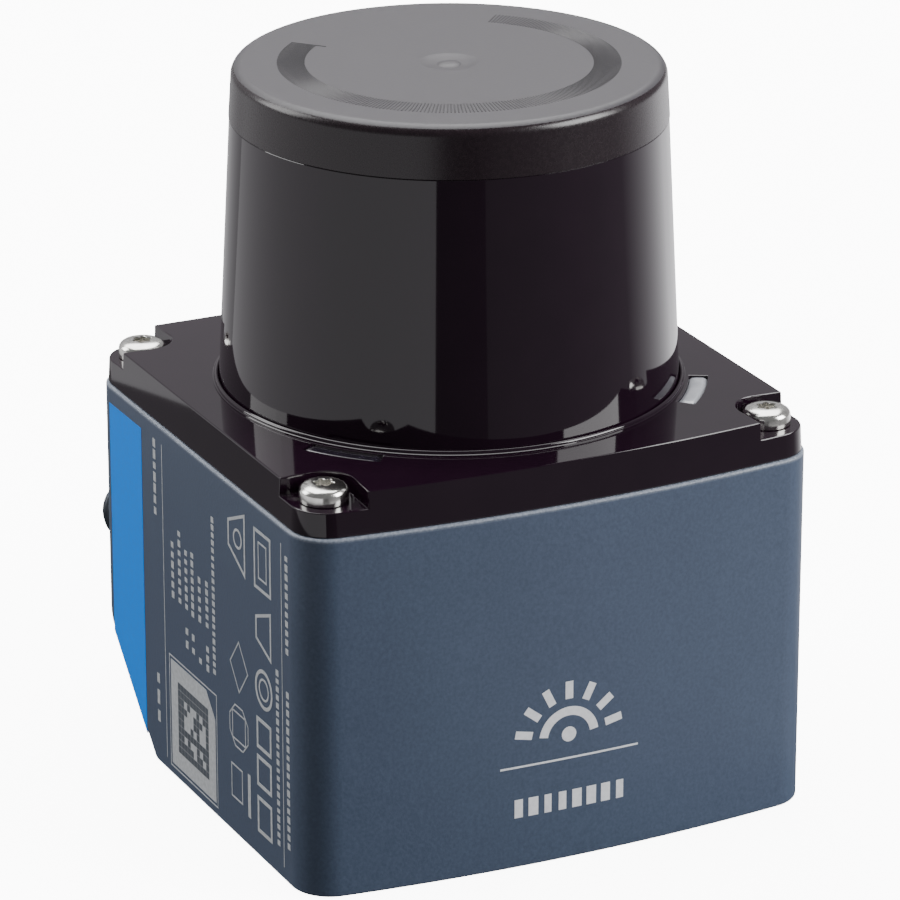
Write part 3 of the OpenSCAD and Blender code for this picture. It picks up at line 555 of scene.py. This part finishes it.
def wall_radius(height):
    """Outer radius of the cone at a height above the flange."""
    return foot_radius - (foot_radius - top_radius) * height / cone_height


band_foot = cone_height - band_height
sink = 0.5 * mm
round_steps = 8
bead_radius = 25.18 * mm
bead_half_width = 0.24 * mm
bead_foot = 0.16 * mm
bead_height = 0.34 * mm
bead = [(bead_radius + bead_half_width * math.cos(a), bead_foot + bead_height * math.sin(a))
        for a in (math.pi * i / round_steps for i in range(round_steps + 1))]
top_corner = (wall_radius(cone_height - top_edge_radius) - top_edge_radius,
              cone_height - top_edge_radius)
top_edge = arc(*top_corner, top_edge_radius, 0, math.pi / 2, round_steps)
cone_profile = (
    [(0, ceiling), (20.9 * mm, ceiling), (inner_foot_radius, -sink),
     (25.58 * mm, -sink), (25.58 * mm, 0.1 * mm), (25.5 * mm, bead_foot)]
    + bead
    + [(wall_radius(0) + 0.06 * mm, 0.1 * mm), (wall_radius(0), 0.14 * mm),
       (wall_radius(band_foot), band_foot),
       (wall_radius(band_foot) - 0.04 * mm, band_foot + 0.05 * mm),
       (wall_radius(band_foot) + 0.05 * mm, band_foot + 0.16 * mm)]
    + top_edge
    + [(3.3 * mm, cone_height), (2.9 * mm, cone_height - 0.06 * mm),
       (1.7 * mm, cone_height - 0.3 * mm), (1.25 * mm, cone_height - 0.3 * mm),
       (1.05 * mm, cone_height - 0.18 * mm), (0.6 * mm, cone_height - 0.08 * mm),
       (0, cone_height - 0.05 * mm)]
)
cone = lathe("cone", [(r, z + flange_top) for r, z in cone_profile], 180)
tongue_half = 17 * mm
tongue_depth = 2 * mm
tongue_place = 3.5 * mm
tongue_half_width = 0.6 * mm
front_corner = housing_low.y + front_bulge
tongues = []
for x, y, wide, deep in (
    (half_width - tongue_place, 0, tongue_half_width, tongue_half),
    (tongue_place - half_width, 0, tongue_half_width, tongue_half),
    (0, rear_face - tongue_place, tongue_half, tongue_half_width),
    (0, tongue_place + front_corner, tongue_half, tongue_half_width),
):
    corners = [(x - wide, y - deep), (x + wide, y - deep), (x + wide, y + deep), (x - wide, y + deep)]
    tongues.append(loft("tongue", [raised(corners, z) for z in (seam - tongue_depth, seam + 1 * mm)]))
combine(hood, join("cone_and_tongues", [cone] + tongues), "UNION")

hood_gloss = grained("hood_gloss", (0.0075, 0.0022, 0.0068), (0.009, 0.003, 0.008), 220, 0.05,
                     bump_depth=0.0005 * mm)
hood_matt = grained("hood_matt", (0.03, 0.027, 0.032), (0.046, 0.043, 0.048), 3200, 0.46,
                    bump_depth=0.03 * mm)
hood_satin = grained("hood_satin", (0.007, 0.0025, 0.005), (0.011, 0.005, 0.008), 2600, 0.27,
                     bump_depth=0.012 * mm)
for finish in (hood_gloss, hood_matt, hood_satin):
    hood.data.materials.append(finish)
matt_from = hood_high - 0.4 * mm
satin_from = flange_top + band_foot + 0.03 * mm
outside_from = 22 * mm
for face in hood.data.polygons:
    if face.center.z > matt_from:
        face.material_index = 1
    elif face.center.z > satin_from and face.center.xy.length > outside_from:
        face.material_index = 2
    else:
        face.material_index = 0
smooth(hood, 30)
even_faces(hood)
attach(hood, "base")
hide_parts("optics_hood")

# --- Top scale ------------------------------------------------------------------------------
# A ring of fine raised ticks moulded into the flat top of the hood, open at the back, which shows
# the scanned angle. They are the same plastic as the hood.
tick_count = 221
tick_span = math.radians(276)
tick_middle = math.radians(-90)
tick_radius = 16.8 * mm
tick_length = 3.0 * mm
tick_width = 0.15 * mm
tick_height = 0.135 * mm
tick_sink = 0.09 * mm
first_tick_radius = 16.25 * mm
first_tick_stretch = 1.37


def repeated(piece, places, finish, seed, wobble=0.0, trim=0.0):
    """Puts a copy of a piece at each place. A place is a point, a turn and a stretch, to which
    chance adds a turn of up to wobble, and takes away up to trim of the length."""
    spot_mesh = bpy.data.meshes.new("places")
    spot_mesh.from_pydata([place[0] for place in places], [], [])
    for index, name in ((1, "turn"), (2, "stretch")):
        values = spot_mesh.attributes.new(name, "FLOAT", "POINT")
        values.data.foreach_set("value", [place[index] for place in places])
    spot_object = new_object("places", spot_mesh)
    tree = bpy.data.node_groups.new(piece.name, "GeometryNodeTree")
    nodes = tree.nodes
    links = tree.links
    face = tree.interface
    face.new_socket("Geometry", in_out="INPUT", socket_type="NodeSocketGeometry")
    settings = {}
    for name, kind, value in (
        ("Places", "NodeSocketObject", spot_object),
        ("Seed", "NodeSocketInt", seed),
        ("Wobble", "NodeSocketFloat", wobble),
        ("Trim", "NodeSocketFloat", trim),
        ("Finish", "NodeSocketMaterial", finish),
    ):
        settings[face.new_socket(name, in_out="INPUT", socket_type=kind).identifier] = value
    face.new_socket("Geometry", in_out="OUTPUT", socket_type="NodeSocketGeometry")

    def own_value(name):
        """A value that each place carries."""
        node = nodes.new("GeometryNodeInputNamedAttribute")
        node.data_type = "FLOAT"
        node.inputs["Name"].default_value = name
        return node.outputs["Attribute"]

    def maths(operation, first, second):
        """What two values come to, each a socket or a plain number."""
        node = nodes.new("ShaderNodeMath")
        node.operation = operation
        for socket, value in ((node.inputs[0], first), (node.inputs[1], second)):
            if isinstance(value, float):
                socket.default_value = value
            else:
                links.new(value, socket)
        return node.outputs[0]

    start = nodes.new("NodeGroupInput")
    end = nodes.new("NodeGroupOutput")
    spots = nodes.new("GeometryNodeObjectInfo")
    links.new(start.outputs["Places"], spots.inputs["Object"])
    chance = nodes.new("FunctionNodeRandomValue")
    chance.data_type = "FLOAT"
    links.new(start.outputs["Seed"], chance.inputs["Seed"])
    extra_turn = maths("MULTIPLY", chance.outputs["Value"], start.outputs["Wobble"])
    rotation = nodes.new("ShaderNodeCombineXYZ")
    links.new(maths("ADD", own_value("turn"), extra_turn), rotation.inputs["Z"])
    cut_share = maths("MULTIPLY", chance.outputs["Value"], start.outputs["Trim"])
    kept_share = maths("SUBTRACT", 1.0, cut_share)
    scale = nodes.new("ShaderNodeCombineXYZ")
    scale.inputs["Y"].default_value = 1.0
    scale.inputs["Z"].default_value = 1.0
    links.new(maths("MULTIPLY", own_value("stretch"), kept_share), scale.inputs["X"])
    copies = nodes.new("GeometryNodeInstanceOnPoints")
    links.new(spots.outputs["Geometry"], copies.inputs["Points"])
    links.new(start.outputs["Geometry"], copies.inputs["Instance"])
    links.new(rotation.outputs[0], copies.inputs["Rotation"])
    links.new(scale.outputs[0], copies.inputs["Scale"])
    solid = nodes.new("GeometryNodeRealizeInstances")
    links.new(copies.outputs["Instances"], solid.inputs["Geometry"])
    painted = nodes.new("GeometryNodeSetMaterial")
    links.new(solid.outputs["Geometry"], painted.inputs["Geometry"])
    links.new(start.outputs["Finish"], painted.inputs["Material"])
    links.new(painted.outputs["Geometry"], end.inputs["Geometry"])
    repeat = piece.modifiers.new("repeat", "NODES")
    repeat.node_group = tree
    for identifier, value in settings.items():
        repeat[identifier] = value
    settle(piece)
    bpy.data.objects.remove(spot_object)
    for name in ("turn", "stretch"):
        if name in piece.data.attributes:
            piece.data.attributes.remove(piece.data.attributes[name])


def bar(name, length, width, height, nose=0.3):
    """A low bar along X with a narrower top and slightly pointed ends."""
    half = length / 2
    side = width / 2
    rings = []
    for inset, z in ((0, 0), (0, height * 0.6), (width * 0.18, height)):
        u = half - inset
        v = side - inset
        nip = side * nose
        rings.append([(-u, -v + nip, z), (-u + nip, -v, z), (u - nip, -v, z), (u, -v + nip, z),
                      (u, v - nip, z), (u - nip, v, z), (-u + nip, v, z), (-u, v - nip, z)])
    return loft(name, rings)


tick_places = []
for i in range(tick_count):
    angle = tick_middle + tick_span * (i / (tick_count - 1) - 0.5)
    radius = first_tick_radius if i == 0 else tick_radius
    spot = (radius * math.cos(angle), radius * math.sin(angle), top_skin - tick_sink)
    tick_places.append((spot, angle, first_tick_stretch if i == 0 else 1.0))
ticks = bar("top_scale", tick_length, tick_width, tick_height)
tick_finish = grained("tick_plastic", (0.012, 0.01, 0.013), (0.02, 0.018, 0.021), 2600, 0.4)
repeated(ticks, tick_places, tick_finish, seed=3)
smooth(ticks, 30)
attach(ticks, "base")

# --- Cover screws ---------------------------------------------------------------------------
# Four M3 pan head screws in bright stainless steel with a six lobe recess, which stand in the
# corner pockets and hold the hood on the housing. Each was tightened to its own angle.
screw_seat = pocket_floor + 0.01 * mm
screw_head_height = 1.95 * mm
recess_depth = 1.05 * mm
screw_length = screw_seat - screw_low.z
thread_radius = 1.48 * mm
thread_depth = 0.3 * mm
thread_pitch = 0.5 * mm
thread_steps = 24
tip_length = 0.6 * mm
tip_taper = 0.35 * mm


def six_lobes(radius, height, angle):
    """How far the recess wall stands out from its middle radius."""
    inside = 0.4 * mm < radius < 1.3 * mm and height > 0.5 * mm
    return 0.17 * mm * math.cos(6 * angle) if inside else 0


head_profile = [
    (0, -0.3 * mm), (1.3 * mm, -0.3 * mm), (1.3 * mm, 0), (head_radius - 0.12 * mm, 0),
    (head_radius - 0.02 * mm, 0.08 * mm), (head_radius - 0.005 * mm, 0.2 * mm),
    (head_radius - 0.005 * mm, 1.05 * mm), (head_radius - 0.06 * mm, 1.3 * mm),
    (head_radius - 0.22 * mm, 1.55 * mm), (head_radius - 0.5 * mm, 1.75 * mm),
    (head_radius - 0.95 * mm, 1.87 * mm), (1.32 * mm, screw_head_height),
    (1.02 * mm, screw_head_height), (0.96 * mm, screw_head_height - 0.06 * mm),
    (0.93 * mm, screw_head_height - recess_depth),
    (0.38 * mm, screw_head_height - recess_depth - 0.04 * mm),
    (0, screw_head_height - recess_depth - 0.14 * mm),
]
head = lathe("head", head_profile, 96, six_lobes)
shank_shape = bmesh.new()
thread_rings = []
ring_count = int(screw_length / (thread_pitch / 6))
for level in range(ring_count + 1):
    z = -0.1 * mm - (screw_length - 0.1 * mm) * level / ring_count
    ring = []
    for i in range(thread_steps):
        angle = math.tau * i / thread_steps
        phase = (z / thread_pitch + i / thread_steps) % 1
        tip = max(0, 1 - (screw_length + z) / tip_length) * tip_taper
        reach = thread_radius - thread_depth * abs(2 * phase - 1) - tip
        ring.append(shank_shape.verts.new((reach * math.cos(angle), reach * math.sin(angle), z)))
    thread_rings.append(ring)
for low, high in zip(thread_rings, thread_rings[1:]):
    for i in range(thread_steps):
        j = (i + 1) % thread_steps
        shank_shape.faces.new((low[i], low[j], high[j], high[i]))
shank_shape.faces.new(thread_rings[0])
shank_shape.faces.new(thread_rings[-1])
bmesh.ops.recalc_face_normals(shank_shape, faces=shank_shape.faces)
shank_mesh = bpy.data.meshes.new("shank")
shank_shape.to_mesh(shank_mesh)
shank_shape.free()
screws = join("cover_screws", [head, new_object("shank", shank_mesh)])
steel = grained("stainless", (0.62, 0.61, 0.58), (0.8, 0.79, 0.76), 1500, 0.2, metal=1.0,
                bump_depth=0.012 * mm)
screw_spots = [((x, y, screw_seat), 0.9 * x / mm, 1.0) for x, y in screw_places]
repeated(screws, screw_spots, steel, seed=11, wobble=math.tau)
smooth(screws, 32)
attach(screws, "base")
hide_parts("cover_screws")

# --- Light windows --------------------------------------------------------------------------
# Two curved bars in moulded plastic that lead light from the board up through the flange. Their
# tops are slightly domed. Both are one plastic, coloured darker on the left as painted shade and
# lighter on the right as painted light.
window_gap = 0.01 * mm
window_steps = 28
crown_steps = 8
crown_drop = 0.22 * mm
end_drop = 0.16 * mm


def window_finish(name, dark, light, rough):
    """Moulded plastic that lets a little light in under its surface."""
    finish = grained(name, dark, light, 700, rough, bump_depth=0.004 * mm)
    inputs = finish.node_tree.nodes["Principled BSDF"].inputs
    inputs["Subsurface Weight"].default_value = 0.2
    inputs["Subsurface Radius"].default_value = (0.001, 0.001, 0.001)
    inputs["Coat Weight"].default_value = 0.6
    inputs["Coat Roughness"].default_value = 0.08
    return finish


# Painted shade and painted light: one window plastic, a darker copy for the left window and a lighter copy
# for the right
shaded_window_plastic = window_finish("window_plastic_painted_shade", (0.008, 0.006, 0.01), (0.014, 0.011, 0.018), 0.12)
lit_window_plastic = window_finish("window_plastic_painted_light", (0.28, 0.29, 0.32), (0.4, 0.41, 0.44), 0.3)
window_looks = {"light_pipe_left": shaded_window_plastic, "light_pipe_right": lit_window_plastic}
for middle, window in slots:
    low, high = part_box(window)
    bottom = low.z + window_gap
    top = high.z - window_gap
    window_mesh = bmesh.new()
    rings = []
    for i in range(window_steps + 1):
        share = i / window_steps
        angle = middle + light_half_span * (2 * share - 1) * 0.998
        drop = end_drop * max(0, 1 - min(share, 1 - share) * window_steps / 2)
        crown = [(light_inner + window_gap, bottom), (light_outer - window_gap, bottom)]
        for k in range(crown_steps + 1):
            across = 1 - k / crown_steps
            radius = light_inner + window_gap + (light_outer - light_inner - 2 * window_gap) * across
            crown.append((radius, top - drop - crown_drop * (2 * across - 1) ** 4))
        rings.append([window_mesh.verts.new((r * math.cos(angle), r * math.sin(angle), z))
                      for r, z in crown])
    for low_ring, high_ring in zip(rings, rings[1:]):
        for k in range(len(low_ring)):
            n = (k + 1) % len(low_ring)
            window_mesh.faces.new((low_ring[k], low_ring[n], high_ring[n], high_ring[k]))
    window_mesh.faces.new(rings[0])
    window_mesh.faces.new(rings[-1])
    bmesh.ops.recalc_face_normals(window_mesh, faces=window_mesh.faces)
    plain = bpy.data.meshes.new(window)
    window_mesh.to_mesh(plain)
    window_mesh.free()
    pane = new_object(window, plain)
    pane.data.materials.append(window_looks[window])
    smooth(pane, 40)
    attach(pane, "base")
    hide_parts(window)

# --- Printed marks --------------------------------------------------------------------------
# Thin pad printing on the left face and the front. It stands in for the maker's lettering with
# plain bars, rings, frames and a pale panel of small squares, and none of it can be read.
print_height = 0.02 * mm
print_sink = 0.008 * mm
code_count = 10
code_pitch = 0.84
code_lift = 0.004 * mm


def in_mm(points):
    """Flat points given in millimetres."""
    return [(x * mm, y * mm) for x, y in points]


def ribbon(path, width, closed=True):
    """A flat printed line along a path of flat points."""
    shape = bmesh.new()
    rings = []
    count = len(path)
    for i in range(count):
        here = Vector(path[i])
        free_start = i == 0 and not closed
        free_end = i == count - 1 and not closed
        before = 2 * here - Vector(path[1]) if free_start else Vector(path[i - 1])
        after = 2 * here - Vector(path[i - 1]) if free_end else Vector(path[(i + 1) % count])
        first = (here - before).normalized()
        second = (after - here).normalized()
        side = Vector((-first.y, first.x))
        mitre = (side + Vector((-second.y, second.x))).normalized()
        shift = mitre * (width / 2 / max(0.4, mitre.dot(side)))
        left = here + shift
        right = here - shift
        rings.append([shape.verts.new((p.x, p.y, z)) for p, z in (
            (right, -print_sink), (left, -print_sink), (left, print_height), (right, print_height))])
    following = rings[1:] + rings[:1] if closed else rings[1:]
    for one, two in zip(rings, following):
        for k in range(4):
            n = (k + 1) % 4
            shape.faces.new((one[k], two[k], two[n], one[n]))
    if not closed:
        shape.faces.new(rings[0])
        shape.faces.new(rings[-1])
    bmesh.ops.recalc_face_normals(shape, faces=shape.faces)
    mesh = bpy.data.meshes.new("ribbon")
    shape.to_mesh(mesh)
    shape.free()
    return new_object("ribbon", mesh)


def patch(points):
    """A flat printed area inside an outline that runs to the left."""
    return loft("patch", [raised(points, z) for z in (-print_sink, print_height)])


def rectangle(x0, y0, x1, y1):
    """The corners of an upright rectangle in millimetres, running to the left."""
    return in_mm([(x0, y0), (x1, y0), (x1, y1), (x0, y1)])


def dashes(name, rows, thickness, gap, seed, trim=0.35):
    """Rows of short printed bars. A row is its start, its end and the length of a bar, in mm."""
    dash = loft(name, [raised(rectangle(-0.5, -thickness / 2, 0.5, thickness / 2), z)
                       for z in (-print_sink, print_height)])
    places = []
    for (x0, y0), (x1, y1), length in rows:
        whole = math.dist((x0, y0), (x1, y1))
        count = max(1, int(whole / (length + gap)))
        turn = math.atan2(y1 - y0, x1 - x0)
        for i in range(count):
            share = (i + 0.5) / count
            spot = ((x0 + (x1 - x0) * share) * mm, (y0 + (y1 - y0) * share) * mm, 0)
            places.append((spot, turn, length))
    repeated(dash, places, print_ink, seed=seed, trim=trim)
    return dash


print_ink = grained("print_ink", (0.38, 0.395, 0.41), (0.5, 0.515, 0.53), 2200, 0.55,
                    bump_depth=0.004 * mm)
bright_ink = grained("bright_ink", (0.66, 0.67, 0.70), (0.76, 0.77, 0.8), 2200, 0.5,
                     bump_depth=0.004 * mm)
# The left face is drawn flat, with the front to the right, and then laid in its place
side_lines = [
    ribbon(in_mm([(-9.3, 1.6), (-9.3, 38.4)]), 0.14 * mm, closed=False),
    ribbon(in_mm([(22.2, 1.6), (22.2, 38.4)]), 0.14 * mm, closed=False),
    ribbon(rectangle(-8.2, 1.2, 4.7, 14.4), 0.14 * mm),
    ribbon(rectangle(15.4, 31.2, 19.4, 37.6), 0.36 * mm),
    ribbon(rectangle(16.4, 32.4, 18.4, 36.4), 0.2 * mm),
    ribbon(in_mm([(15.6, 25.4), (19.3, 24.0), (19.3, 29.2), (15.6, 27.8)]), 0.34 * mm),
    ribbon(circle(17.4 * mm, 20.0 * mm, 2.05 * mm, 40), 0.4 * mm),
    ribbon(circle(17.4 * mm, 20.0 * mm, 1.15 * mm, 40), 0.24 * mm),
    ribbon(rectangle(15.6, 13.0, 19.0, 16.2), 0.42 * mm),
    ribbon(rectangle(15.6, 8.6, 19.0, 11.8), 0.42 * mm),
    ribbon(rectangle(15.6, 3.2, 19.0, 7.0), 0.42 * mm),
    ribbon(in_mm([(8.6, 33.4), (12.8, 31.2), (12.8, 38.0), (8.6, 36.2)]), 0.34 * mm),
    ribbon(circle(11.0 * mm, 34.8 * mm, 1.0 * mm, 32), 0.28 * mm),
    ribbon(in_mm([(10.9, 17.2), (13.2, 20.1), (10.9, 23.0), (8.6, 20.1)]), 0.16 * mm),
    ribbon(circle(10.7 * mm, 13.0 * mm, 2.6 * mm, 8, start=0.39), 0.16 * mm),
    ribbon(rectangle(9.0, 11.4, 12.4, 14.6), 0.16 * mm),
    ribbon(rectangle(8.6, 4.4, 11.4, 8.2), 0.18 * mm),
    patch(rectangle(12.9, 3.6, 13.6, 8.6)),
]
panel = patch(in_mm([(-7.8, 1.6), (4.3, 1.6), (4.3, 11.4), (1.9, 14.0), (-7.8, 14.0)]))
side_rows = [
    ((-11.4, 29.4), (-11.4, 38.6), 1.1), ((-11.4, 4.6), (-11.4, 11.4), 1.7),
    ((-6.8, 21.3), (-6.8, 28.3), 0.9), ((-4.9, 21.3), (-4.9, 30.2), 0.8),
    ((-3.1, 21.3), (-3.1, 28.6), 0.75), ((-3.1, 16.6), (-3.1, 19.7), 0.9),
    ((-1.4, 21.1), (-1.4, 28.9), 0.75), ((-1.4, 16.5), (-1.4, 19.6), 0.9),
    ((0.5, 21.2), (0.5, 26.8), 0.8), ((0.5, 16.0), (0.5, 17.7), 0.8),
    ((2.5, 21.3), (2.5, 27.0), 0.7), ((2.5, 16.2), (2.5, 19.5), 0.8),
    ((4.3, 16.6), (4.3, 35.0), 0.65),
    ((20.9, 3.4), (20.9, 23.8), 0.7),
    ((23.5, 26.2), (23.5, 37.6), 0.8), ((23.5, 4.0), (23.5, 22.3), 0.8),
]
side_dashes = dashes("side_dashes", side_rows, 0.7, 0.2, seed=7)
side_print = join("side_print", side_lines + [panel, side_dashes])
code_squares = loft("side_code", [raised(rectangle(-0.4, -0.4, 0.4, 0.4), z)
                                  for z in (code_lift, print_height + code_lift)])
code_ink = grained("code_ink", (0.05, 0.06, 0.075), (0.07, 0.08, 0.1), 2200, 0.55,
                   bump_depth=0.004 * mm)
code_places = []
for i in range(code_count):
    for j in range(code_count):
        on_frame = i in (0, code_count - 1) or j in (0, code_count - 1)
        if on_frame or (3 * i * j + i + 2 * j) % 5 < 2 or (i * i + j) % 7 == 3:
            code_places.append((((i - 6.6) * code_pitch * mm, (j + 4.7) * code_pitch * mm, 0), 0, 1.0))
repeated(code_squares, code_places, code_ink, seed=5)


def on_left_face(piece, lift=0.0):
    """Lays a flat drawing on the left face: its right is the front and its top is up."""
    piece.data.transform(Matrix((
        (0, 0, -1, coat_inset - half_width - lift),
        (-1, 0, 0, 0),
        (0, 1, 0, 0),
        (0, 0, 0, 1),
    )))


def printed(piece, ink):
    """Gives a whole mark one ink."""
    piece.data.materials.clear()
    piece.data.materials.append(ink)
    for face in piece.data.polygons:
        face.material_index = 0


on_left_face(side_print)
on_left_face(code_squares, lift=0.001 * mm)
for piece, ink in ((side_print, print_ink), (code_squares, code_ink)):
    printed(piece, ink)
    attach(piece, "base")

# The front carries a dot under an arc with seven rays, a thin line and a row of short bars
fan_x = -0.5 * mm
fan_z = 14.1 * mm
fan_arc = arc(fan_x, fan_z, 3 * mm, math.radians(8), math.radians(172), 40)
fan = [ribbon(fan_arc, 1.0 * mm, closed=False)]
for i in range(7):
    angle = math.radians(12 + 26 * i)
    ray = [(fan_x + r * math.cos(angle), fan_z + r * math.sin(angle)) for r in (4.4 * mm, 6.4 * mm)]
    fan.append(ribbon(ray, 0.9 * mm, closed=False))
fan.append(patch(circle(fan_x, fan_z + 0.35 * mm, 0.85 * mm, 36)))
rule_steps = 24
rule = in_mm([(-8.5 + 16.3 * i / rule_steps, 11.7) for i in range(rule_steps + 1)])
fan.append(ribbon(rule, 0.22 * mm, closed=False))
front_rows = [((-7.2, 6.9), (6.5, 6.9), 1.15)]
front_dashes = dashes("front_dashes", front_rows, 2.1, 0.42, seed=9, trim=0.3)
front_print = join("front_mark", fan + [front_dashes])
reach = front_arc_radius - coat_inset
for vert in front_print.data.vertices:
    across, up, out = vert.co
    vert.co = (across, front_arc_centre - math.sqrt(reach**2 - across**2) - out * 0.9, up)
printed(front_print, bright_ink)
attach(front_print, "base")

# --- Connectors -----------------------------------------------------------------------------
# Two round connectors in dark anodised metal stand on the rear face, each with a collar with fine
# knurling, a seal groove under it and a turned thread for the cable's nut.
collar_height = 2.0 * mm
shell_gap = 0.01 * mm
shell_thread_depth = 0.3 * mm
knurl_count = 36
knurl_depth = 0.14 * mm
anodised = grained("connector_metal", (0.035, 0.04, 0.052), (0.055, 0.064, 0.08), 1400, 0.45,
                   metal=0.6, bump_depth=0.008 * mm)


def connector(node, thread_from, bore_share, pitch):
    """A threaded shell on the rear face, turned round its own axis."""
    low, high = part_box(node)
    collar_radius = (high.x - low.x) / 2
    radius = collar_radius - 1.2 * mm
    centre_x = (low.x + high.x) / 2
    centre_z = (low.z + high.z) / 2
    reach = high.y - rear_face - shell_gap
    inner_reach = rear_face - low.y - shell_gap
    bore = radius * bore_share
    crest = radius - 0.02 * mm
    thread_end = reach - 0.45 * mm
    profile = [(bore, -inner_reach), (radius - 0.25 * mm, -inner_reach), (crest, -inner_reach + 0.25 * mm)]
    steps_down = int((inner_reach - 0.6 * mm) / (pitch / 6))
    profile += [(crest, -inner_reach + 0.3 * mm + (inner_reach - 0.9 * mm) * i / steps_down)
                for i in range(steps_down + 1)]
    profile += [(crest, 0.03 * mm), (radius + 0.3 * mm, 0.03 * mm),
                (radius + 0.3 * mm, 0.79 * mm), (radius + 0.9 * mm, 0.79 * mm),
                (radius + 0.9 * mm, 0.03 * mm), (collar_radius - 0.1 * mm, 0.03 * mm),
                (collar_radius - 0.02 * mm, 0.12 * mm), (collar_radius - 0.02 * mm, 0.4 * mm),
                (collar_radius - 0.02 * mm, 1.0 * mm), (collar_radius - 0.02 * mm, 1.6 * mm),
                (collar_radius - 0.3 * mm, collar_height), (crest, collar_height + 0.01 * mm),
                (radius - 0.35 * mm, collar_height + 0.05 * mm), (radius - 0.35 * mm, thread_from)]
    steps_up = int((thread_end - thread_from) / (pitch / 6))
    profile += [(crest, thread_from + (thread_end - thread_from) * i / steps_up)
                for i in range(1, steps_up + 1)]
    profile += [(radius - 0.3 * mm, reach), (bore + 0.15 * mm, reach), (bore, reach - 0.15 * mm)]

    def cut_surface(at_radius, height, angle):
        """How far the threads and the knurling cut into the shell."""
        on_inner = -inner_reach + 0.3 * mm <= height < -0.55 * mm and at_radius > bore * 1.1
        on_outer = thread_from < height <= thread_end and at_radius > bore * 1.1
        if on_inner or on_outer:
            phase = (height / pitch + angle / math.tau) % 1
            return -shell_thread_depth * abs(2 * phase - 1)
        on_grip = 0.3 * mm < height < 1.7 * mm and at_radius > collar_radius - 0.1 * mm
        if on_grip:
            return -knurl_depth * (0.5 + 0.5 * math.cos(knurl_count * angle))
        return 0

    shell = lathe(node, profile, 144, cut_surface)
    shell.data.transform(Matrix((
        (1, 0, 0, centre_x),
        (0, 0, 1, rear_face),
        (0, -1, 0, centre_z),
        (0, 0, 0, 1),
    )))
    shell.data.materials.append(anodised)
    smooth(shell, 35)
    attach(shell, "base")
    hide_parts(node)


connector("power_connector_shell", 2.9 * mm, 0.7, 1.0 * mm)
connector("data_connector_shell", 3.1 * mm, 0.7, 1.0 * mm)

# --- Finishes of the remaining pieces -------------------------------------------------------
# The blue film strip on the left face and all the inner pieces keep the frame's own shapes. Each
# takes a finish that suits what it is made of: two colours, the fineness of its grain, how rough
# it is, and where they matter, how far it is metal and how deep the grain is.
polish = 0.0005 * mm
finishes = {
    "blue_film": ((0.0, 0.225, 0.84), (0.0, 0.24, 0.92), 1600, 0.6, 0.0, 0.004 * mm),
    "seal_rubber": ((0.012, 0.012, 0.012), (0.03, 0.03, 0.03), 1800, 0.8),
    "connector_plastic": ((0.012, 0.012, 0.013), (0.025, 0.025, 0.027), 1500, 0.5),
    "gold": ((0.75, 0.52, 0.2), (0.85, 0.62, 0.27), 1300, 0.24, 1.0),
    "nickel": ((0.5, 0.49, 0.46), (0.64, 0.63, 0.6), 1300, 0.28, 1.0),
    "board": ((0.01, 0.09, 0.035), (0.02, 0.14, 0.055), 420, 0.4),
    "ribbon": ((0.36, 0.16, 0.03), (0.5, 0.25, 0.06), 520, 0.38),
    "bench_metal": ((0.06, 0.06, 0.065), (0.11, 0.11, 0.12), 1100, 0.45, 0.8),
    "black_metal": ((0.015, 0.015, 0.016), (0.035, 0.035, 0.036), 1300, 0.5, 0.6),
    "chip": ((0.02, 0.02, 0.024), (0.045, 0.045, 0.05), 1500, 0.42),
    "copper": ((0.55, 0.2, 0.07), (0.75, 0.33, 0.13), 1600, 0.33, 0.9),
    "bearing_steel": ((0.58, 0.58, 0.58), (0.72, 0.72, 0.72), 1200, 0.16, 1.0),
    "magnet": ((0.035, 0.035, 0.04), (0.07, 0.07, 0.075), 1400, 0.55, 0.4),
    "mirror_silver": ((0.88, 0.88, 0.88), (0.93, 0.93, 0.93), 600, 0.03, 1.0, polish),
    "weight_brass": ((0.6, 0.42, 0.16), (0.75, 0.55, 0.23), 1200, 0.27, 1.0),
    "lens_glass": ((0.85, 0.92, 0.95), (0.92, 0.96, 0.98), 500, 0.04, 0.0, polish),
    "filter_glass": ((0.25, 0.02, 0.07), (0.35, 0.03, 0.1), 500, 0.06, 0.0, polish),
}
looks = {name: grained(name, *look) for name, look in finishes.items()}
looks["stainless"] = steel
for name, socket, value in (
    ("blue_film", "Specular IOR Level", 0.12),
    ("lens_glass", "Transmission Weight", 0.9),
    ("filter_glass", "Transmission Weight", 0.9),
):
    looks[name].node_tree.nodes["Principled BSDF"].inputs[socket].default_value = value
built = ("housing", "optics_hood", "cover_screws", "light_pipe_left", "light_pipe_right",
         "power_connector_shell", "data_connector_shell")
for part in frame["record"]["subparts"]:
    if part["node"] not in built:
        for holder in frame["nodes"][part["node"]].material_slots:
            holder.material = looks[part["material_slot"]]
